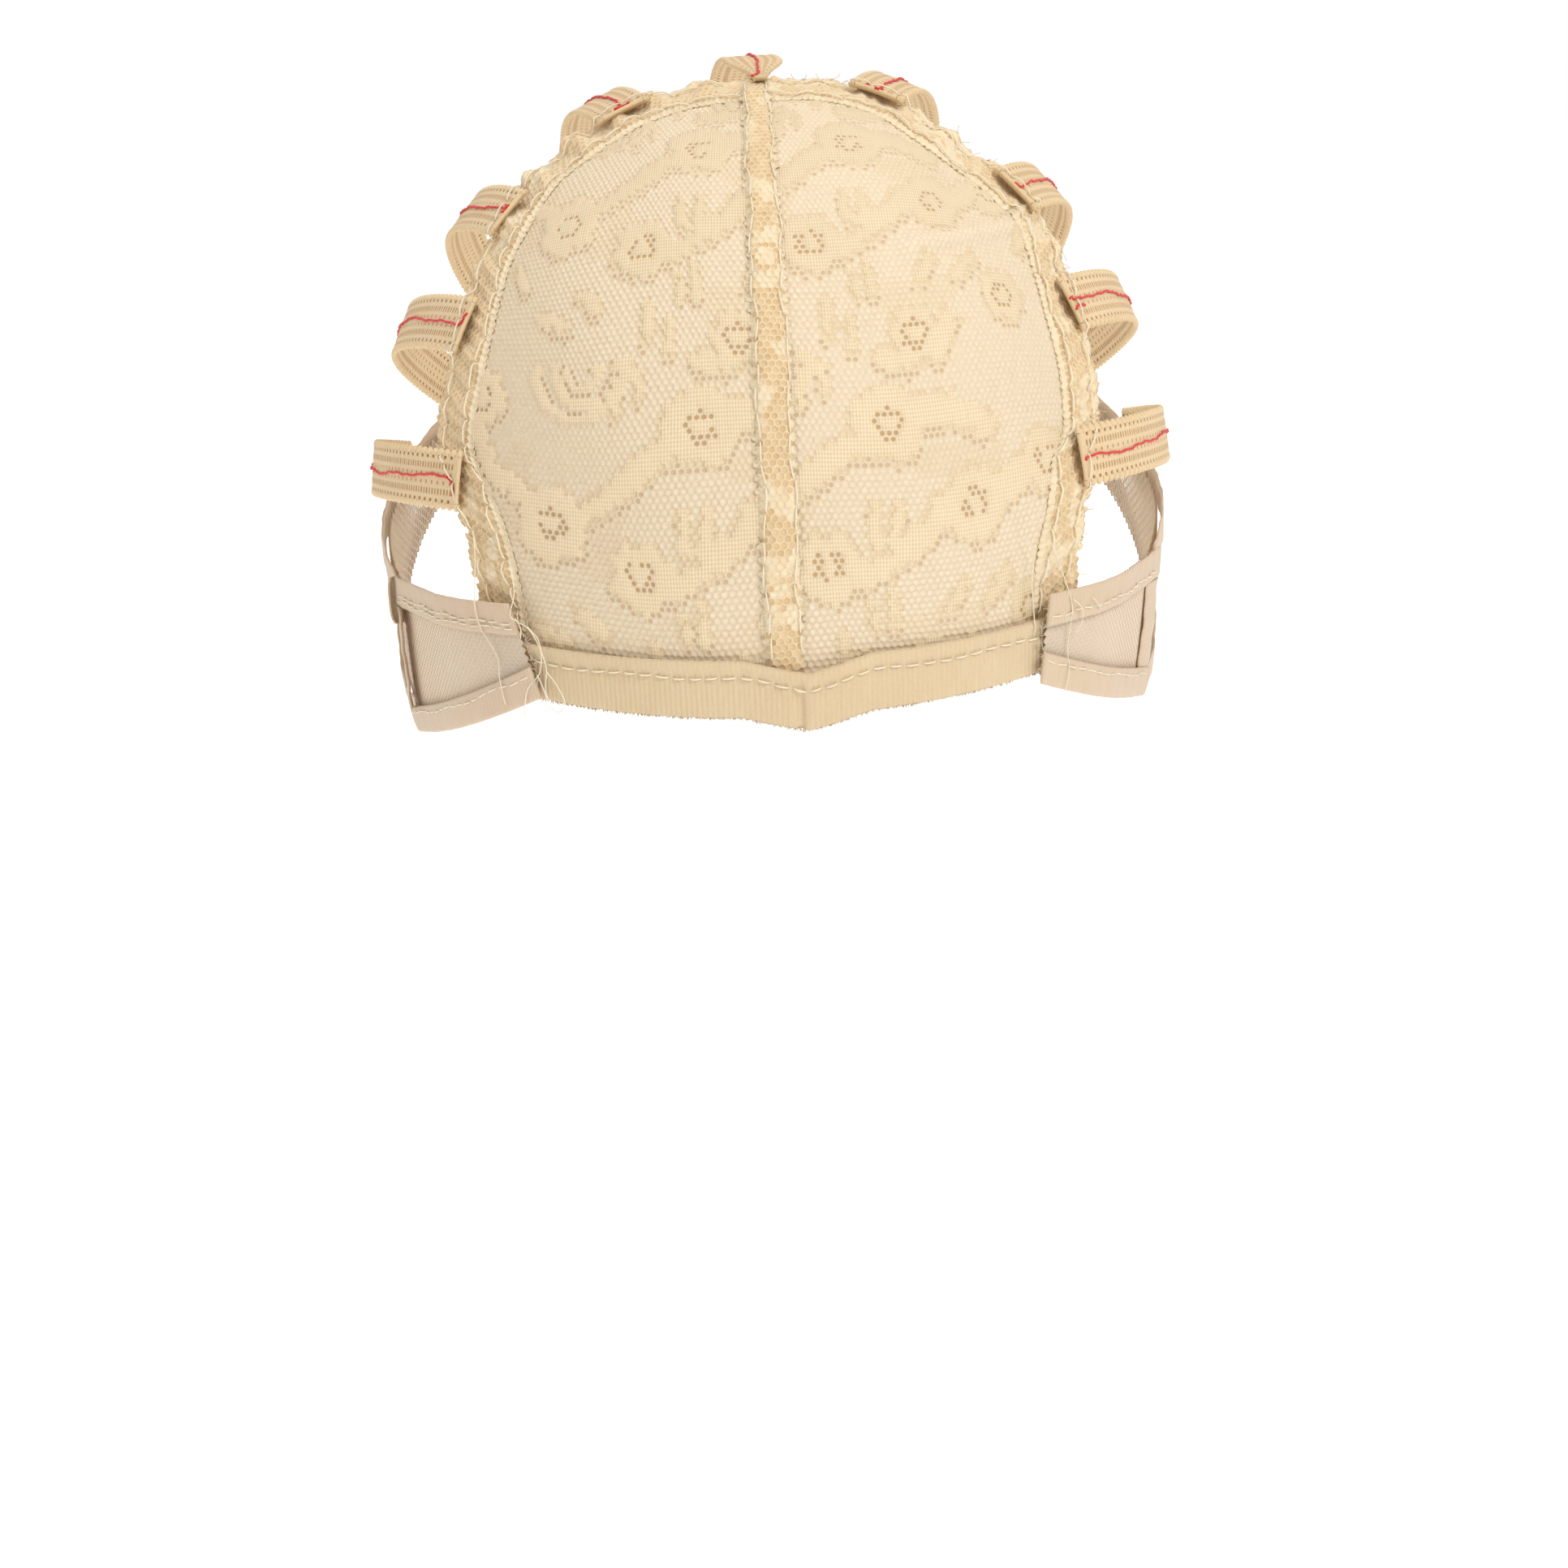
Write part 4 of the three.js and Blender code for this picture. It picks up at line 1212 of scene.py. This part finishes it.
def front_heights(around):
    """The heights of the front band's two edges at an angle around from the back, on either side."""
    around = np.asarray(around, float)
    turn = np.clip(np.where(around > 180, 360 - around, around), FRONT_ROWS[0][0], FRONT_ROWS[-1][0])
    rows = np.array(FRONT_ROWS)
    place = np.interp(turn, rows[:, 0], np.arange(len(rows)))
    points = curve_through(rows, place / (len(rows) - 1))
    return points[..., 1], points[..., 2]


def front_surface(rise):
    """The front band as surface(run, up), millimetres round it and up from its lower edge."""
    around = np.linspace(60, 300, 600)
    low, high = front_heights(around)
    heights = ((low + high) / 2, low, high)
    middle, lower, upper = (above(from_round(around, height), 0.0)[0] for height in heights)
    run = lengths_along(middle)
    heights = np.linalg.norm(upper - lower, axis=1)

    def surface(along_mm, up_mm):
        turn = np.interp(along_mm, run, around)
        share = up_mm / np.interp(along_mm, run, heights)
        return above(from_round(turn, mix(*front_heights(turn), share)), FRONT_LIFT + rise)

    return surface, run, around, lambda along_mm: np.interp(along_mm, run, heights)


def front_band():
    surface, run, around, height_at = front_surface(0.0)
    length = run[-1]
    centres = mesh_centres(DIAMOND, FRONT_NET_PITCH, (0, 0), (length, float(height_at(run).max())))
    along_mm, up_mm = centres.T
    behind_tabs = np.interp(FRONT_ENDS["mesh"], around, run)
    kept = (along_mm > behind_tabs[0]) & (along_mm < behind_tabs[1])
    kept &= (up_mm > FRONT_NET_PITCH / 2) & (up_mm < height_at(along_mm) - FRONT_NET_PITCH)
    cloth = Cloth()
    # Painted shade: the points at each hole's rim take a darker colour.
    full = np.full(kept.sum(), FULL_HEM)
    net(cloth, DIAMOND, FRONT_NET_PITCH, FRONT_NET_THREAD, centres[kept], full, surface,
        OPENING["front"], holes=True)
    piece = stand_in("front_mesh", "net", cloth, NETTING)
    over = front_surface(RIBBON_RISE)[0]
    lower, upper = (np.interp(FRONT_ENDS[name], around, run) for name in ("edge", "inner"))
    ribbon_strip("front_edge_ribbon", over, np.arange(*lower, 1.2), lambda at, share: share * RIBBON_WIDTH)
    ribbon_strip("front_inner_ribbon", over, np.arange(*upper, 1.2),
                 lambda at, share: height_at(at) - (1 - share) * RIBBON_WIDTH)


def strap_surface(start, end):
    """A strap over the crown as surface(distance, across), and the whole length of the strap."""
    angle = math.acos(float(np.clip(start @ end, -1, 1)))

    def way(share):
        share = np.asarray(share, float)[..., None]
        return (np.sin((1 - share) * angle) * start + np.sin(share * angle) * end) / math.sin(angle)

    length = lengths_along(above(way(np.linspace(0, 1, 60)), 0.0)[0])[-1]

    def surface(distance, across, rise=0.0):
        distance, across = np.broadcast_arrays(np.asarray(distance, float), np.asarray(across, float))
        share = (distance - STRAP_ON_HEM) / length
        middle = way(share) * half_sizes(way(share))
        ahead = way(share + 0.01) * half_sizes(way(share + 0.01)) - middle
        sideways = unit(np.cross(way(share) / half_sizes(middle), ahead))
        place = middle + sideways * across[..., None]
        return above(unit(place / half_sizes(place)), STRAP_LIFT + rise)

    return surface, STRAP_ON_HEM + length + STRAP_ON_FRONT


def strap_knit(name, surface, whole):
    """A strap of knitted elastic with picots along its edges and rows of holes."""
    columns_each = len(STRAP_KNIT[0])
    step = PICOT["pitch"] / columns_each
    distance = np.arange(0, whole, step)
    share = np.linspace(-1, 1, 2 * len(STRAP_KNIT) + 1)
    distance_grid, share_grid = np.meshgrid(distance, share, indexing="ij")
    picot = np.abs(np.sin(math.pi * distance_grid / PICOT["pitch"])) ** PICOT["sharpness"]
    edge = smoothstep(np.abs(share_grid), PICOT["from"], 1)
    reach = STRAP_WIDTH / 2 - PICOT["depth"] * (1 - picot) * edge
    raised = LIP["height"] * (1 - smoothstep(distance_grid, 0, LIP["length"]))
    shift = 0.0
    if name in PINCH:
        pinch = 1 - smoothstep(distance_grid, 0, PINCH[name]["length"])
        reach = reach * mix(1, PINCH[name]["least"], pinch)
        shift = PINCH[name]["shift"] * pinch
    middle, outward = surface(distance_grid, share_grid * reach + shift, raised)
    chart = np.array([[mark == "o" for mark in row] for row in STRAP_KNIT])
    half = chart[:, np.arange(len(distance) - 1) % columns_each].T
    holes = np.concatenate([half, half[:, ::-1]], axis=1)
    holes[:STRAP_PLAIN_END] = False
    holes[-STRAP_PLAIN_FAR_END:] = False
    # Painted shade: the points round each hole take a darker colour.
    full = np.ones(distance_grid.shape)
    for row in (0, 1):
        for column in (0, 1):
            beside = full[row:row + holes.shape[0], column:column + holes.shape[1]]
            beside[holes] = HOLE_RIM_SHADE
    lump = np.abs(np.sin(math.pi * distance_grid / PICOT["pitch"]))
    cord = np.exp(-(((np.abs(share_grid) - STRAP_CORD["at"]) / STRAP_CORD["width"]) ** 2))
    thickness = STRAP_THICKNESS["web"] + STRAP_THICKNESS["lump"] * lump + STRAP_CORD["height"] * lump * cord
    thickness[:, [0, -1]] = STRAP_THICKNESS["edge"]
    fabric = np.stack([distance_grid, share_grid * STRAP_WIDTH / 2, full], -1)
    cloth = Cloth()
    grid_cloth(cloth, middle, outward, thickness, fabric, holes)
    stand_in(name, "knit", cloth, ELASTIC)


def red_thread(cloth, surface, name, whole, seed):
    """The thread drawn through the middle of a strap, its end on the lace and the cut bits beside it."""
    rng = np.random.default_rng(seed)
    distance = np.arange(RED_ENDS[name][-1][0] + 1.5, whole - 2, 0.9)
    phase = rng.uniform(0, 2 * math.pi, 3)
    waver = waves("red_thread", distance, phase)
    run = np.concatenate([np.array(RED_ENDS[name]), np.column_stack([distance, waver])])
    for rows in [run] + [np.array(bit) for bit in RED_BITS.get(name, [])]:
        shares = np.linspace(0, 1, 3 * len(rows))
        along, across = curve_through(rows, shares).T
        flat = LIP["height"] * (1 - smoothstep(along, 0, LIP["length"]))
        lift = RED_LIFT + waves("red_lift", along) + flat
        path, outward = surface(along, across, lift)
        tube(cloth, path, outward, RED_RADIUS, sides=5)


def straps():
    red = Cloth()
    strap_list = []
    for row_name, left, right, around in STRAPS:
        for side_name, share in (("left", left), ("right", right)):
            start = from_back(*lace_angles(side_name, share, 1.0))
            turn = around if side_name == "right" else 360 - around
            strap_list.append((f"strap_{row_name}_{side_name}", start, turn))
    strap_list.append(("strap_top", from_back(TOP_STRAP["side"], LACE_TOP), TOP_STRAP["around"]))
    for seed, (name, start, turn) in enumerate(strap_list):
        end = from_round(turn, front_heights(turn)[1])
        surface, whole = strap_surface(start, end)
        strap_knit(name, surface, whole)
        red_thread(red, surface, name, whole, seed)
    add_piece("red_threads", red, RED)


def cream_stitches():
    cloth = Cloth()
    for seed, side_name in enumerate(SIDES):
        for inwards in HEM_STITCH_LINES:
            line, outward = hem_line(side_name, inwards)
            stitches(cloth, line, outward, **STITCH["hem"], seed=seed)
    add_piece("hem_stitches", cloth, CREAM)
    cloth = Cloth()
    y = np.arange(5, (LACE_TOP - LACE_BOTTOM) * UP_MM - 2, 0.8)
    for seed, x in enumerate(SEAM_STITCH_LINES):
        waver = waves("seam_stitches", y, (seed, 0))
        line, outward = seam_surface(SEAM_LIFT + STITCH_LIFT["seam"])(x + waver, y)
        stitches(cloth, line, outward, **STITCH["seam"], seed=7 + seed)
    add_piece("seam_stitches", cloth, CREAM)
    cloth = Cloth()
    side = np.linspace(-BAND_REACH + 2, BAND_REACH - 1, 300)
    down = BAND_STITCHES + waves("band_stitches", side)
    line, outward = band_surface(BAND_LIFT + STITCH_LIFT["band"])(side, down)
    stitches(cloth, line, outward, **STITCH["band"], seed=21)
    add_piece("band_stitches", cloth, CREAM)


def loose_threads():
    """Cut ends of sewing thread that lie over the hems and tabs."""
    cloth = Cloth()
    for rows in LOOSE_THREADS:
        side, up, lift = curve_through(rows, np.linspace(0, 1, 6 * len(rows))).T
        path, outward = above(from_back(side, up), lift)
        tube(cloth, path, outward, LOOSE_RADIUS)
    add_piece("loose_threads", cloth, CREAM)


def tab_stitches(side_name):
    cloth = Cloth()
    surface, length, height_at = tab_surface(side_name, RIBBON_RISE + STITCH_LIFT["tab"])
    along = np.arange(1, length - 1, STITCH_LINE_STEP)
    for seed, down in enumerate(TAB_STITCH_LINES[side_name]):
        line, outward = surface(along, down + waves("tab_stitches", along, (seed,)))
        stitches(cloth, line, outward, **STITCH["tab"], seed=31 + seed)
    low = height_at(along) - TAB_LOW_STITCHES + waves("tab_low_stitches", along)
    line, outward = surface(along, low)
    stitches(cloth, line, outward, **STITCH["tab"], seed=35)
    add_piece(f"tab_stitches_{side_name}", cloth, CREAM)


def studio():
    """A plain pale floor, and soft light from both sides and above."""
    floor_down = 285 * METRE
    mesh = bpy.data.meshes.new("floor")
    reach = 4.0
    corners = [(-reach, -reach), (reach, -reach), (reach, reach), (-reach, reach)]
    mesh.from_pydata([(x, y, -floor_down) for x, y in corners], [], [(0, 1, 2, 3)])
    floor = new_object("floor", mesh)
    pale = new_material("pale_floor")
    skin = pale.node_tree.nodes.new("ShaderNodeBsdfPrincipled")
    fill_inputs(skin, {"Base Color": (0.9, 0.9, 0.9, 1), "Roughness": 0.9})
    fill_inputs(skin, {"Emission Color": (1, 1, 1, 1), "Emission Strength": 0.45})
    output = pale.node_tree.nodes.new("ShaderNodeOutputMaterial")
    pale.node_tree.links.new(skin.outputs[0], output.inputs["Surface"])
    mesh.materials.append(pale)
    world = bpy.data.worlds.new("studio")
    bpy.context.scene.world = world
    world.use_nodes = True
    nodes, link = world.node_tree.nodes, world.node_tree.links.new
    soft = nodes["Background"]
    fill_inputs(soft, {"Color": (1, 0.99, 0.97, 1), "Strength": 0.64})
    seen = nodes.new("ShaderNodeBackground")
    seen.inputs["Color"].default_value = (1, 1, 1, 1)
    blend = nodes.new("ShaderNodeMixShader")
    link(nodes.new("ShaderNodeLightPath").outputs["Is Camera Ray"], blend.inputs[0])
    link(soft.outputs[0], blend.inputs[1])
    link(seen.outputs[0], blend.inputs[2])
    link(blend.outputs[0], nodes["World Output"].inputs["Surface"])
    lights = [  # where, size, watts
        ((0.75, -0.85, 0.8), 0.6, 8.6),
        ((-0.9, -0.9, 0.5), 0.8, 2),
        ((0.0, 0.1, 1.3), 0.8, 6),
    ]
    for index, (place, size, power) in enumerate(lights):
        light = bpy.data.lights.new(f"softbox_{index}", "AREA")
        light.shape = "DISK"
        light.size = size
        light.energy = power
        lamp = new_object(f"softbox_{index}", light)
        look = -np.array(place) - np.array([0, 0, 0.05])
        turn = math.atan2(look[1], look[0]) - math.pi / 2
        tilt = math.atan2(look[2], math.hypot(look[0], look[1]))
        lamp.matrix_world = (Matrix.Translation(place) @ Matrix.Rotation(turn, 4, "Z")
                             @ Matrix.Rotation(math.pi / 2 + tilt, 4, "X"))
    bpy.context.scene.view_settings.view_transform = "Standard"


def camera():
    """The camera of the reference view, placed from the middle of the hollow."""
    distance, height = 514, 106
    tilt, yaw, roll = math.radians(18.3), math.radians(-0.67), math.radians(-2.5)
    focal, image_width = 2998, 1932
    data = bpy.data.cameras.new("camera")
    data.sensor_width = 36
    data.lens = data.sensor_width * focal / image_width
    view = new_object("camera", data)
    place = Matrix.Rotation(yaw, 4, "Z") @ Matrix.Translation((0, -distance * METRE, height * METRE))
    turn = Matrix.Rotation(math.pi / 2 - tilt, 4, "X") @ Matrix.Rotation(roll, 4, "Z")
    view.matrix_world = Matrix.Translation((0, 0, -CENTRE_DOWN * METRE)) @ place @ turn
    bpy.context.scene.camera = view


camera()
studio()
for side_name in SIDES:
    lace_panel(side_name)
    edge_hem(side_name)
    tab_mesh(side_name)
    tab_ribbons(side_name)
    tab_stitches(side_name)
    tab_fray(side_name)
hem_wisps("right")
tab_loop()
nape_band()
band_fuzz()
centre_seam()
front_band()
straps()
cream_stitches()
loose_threads()
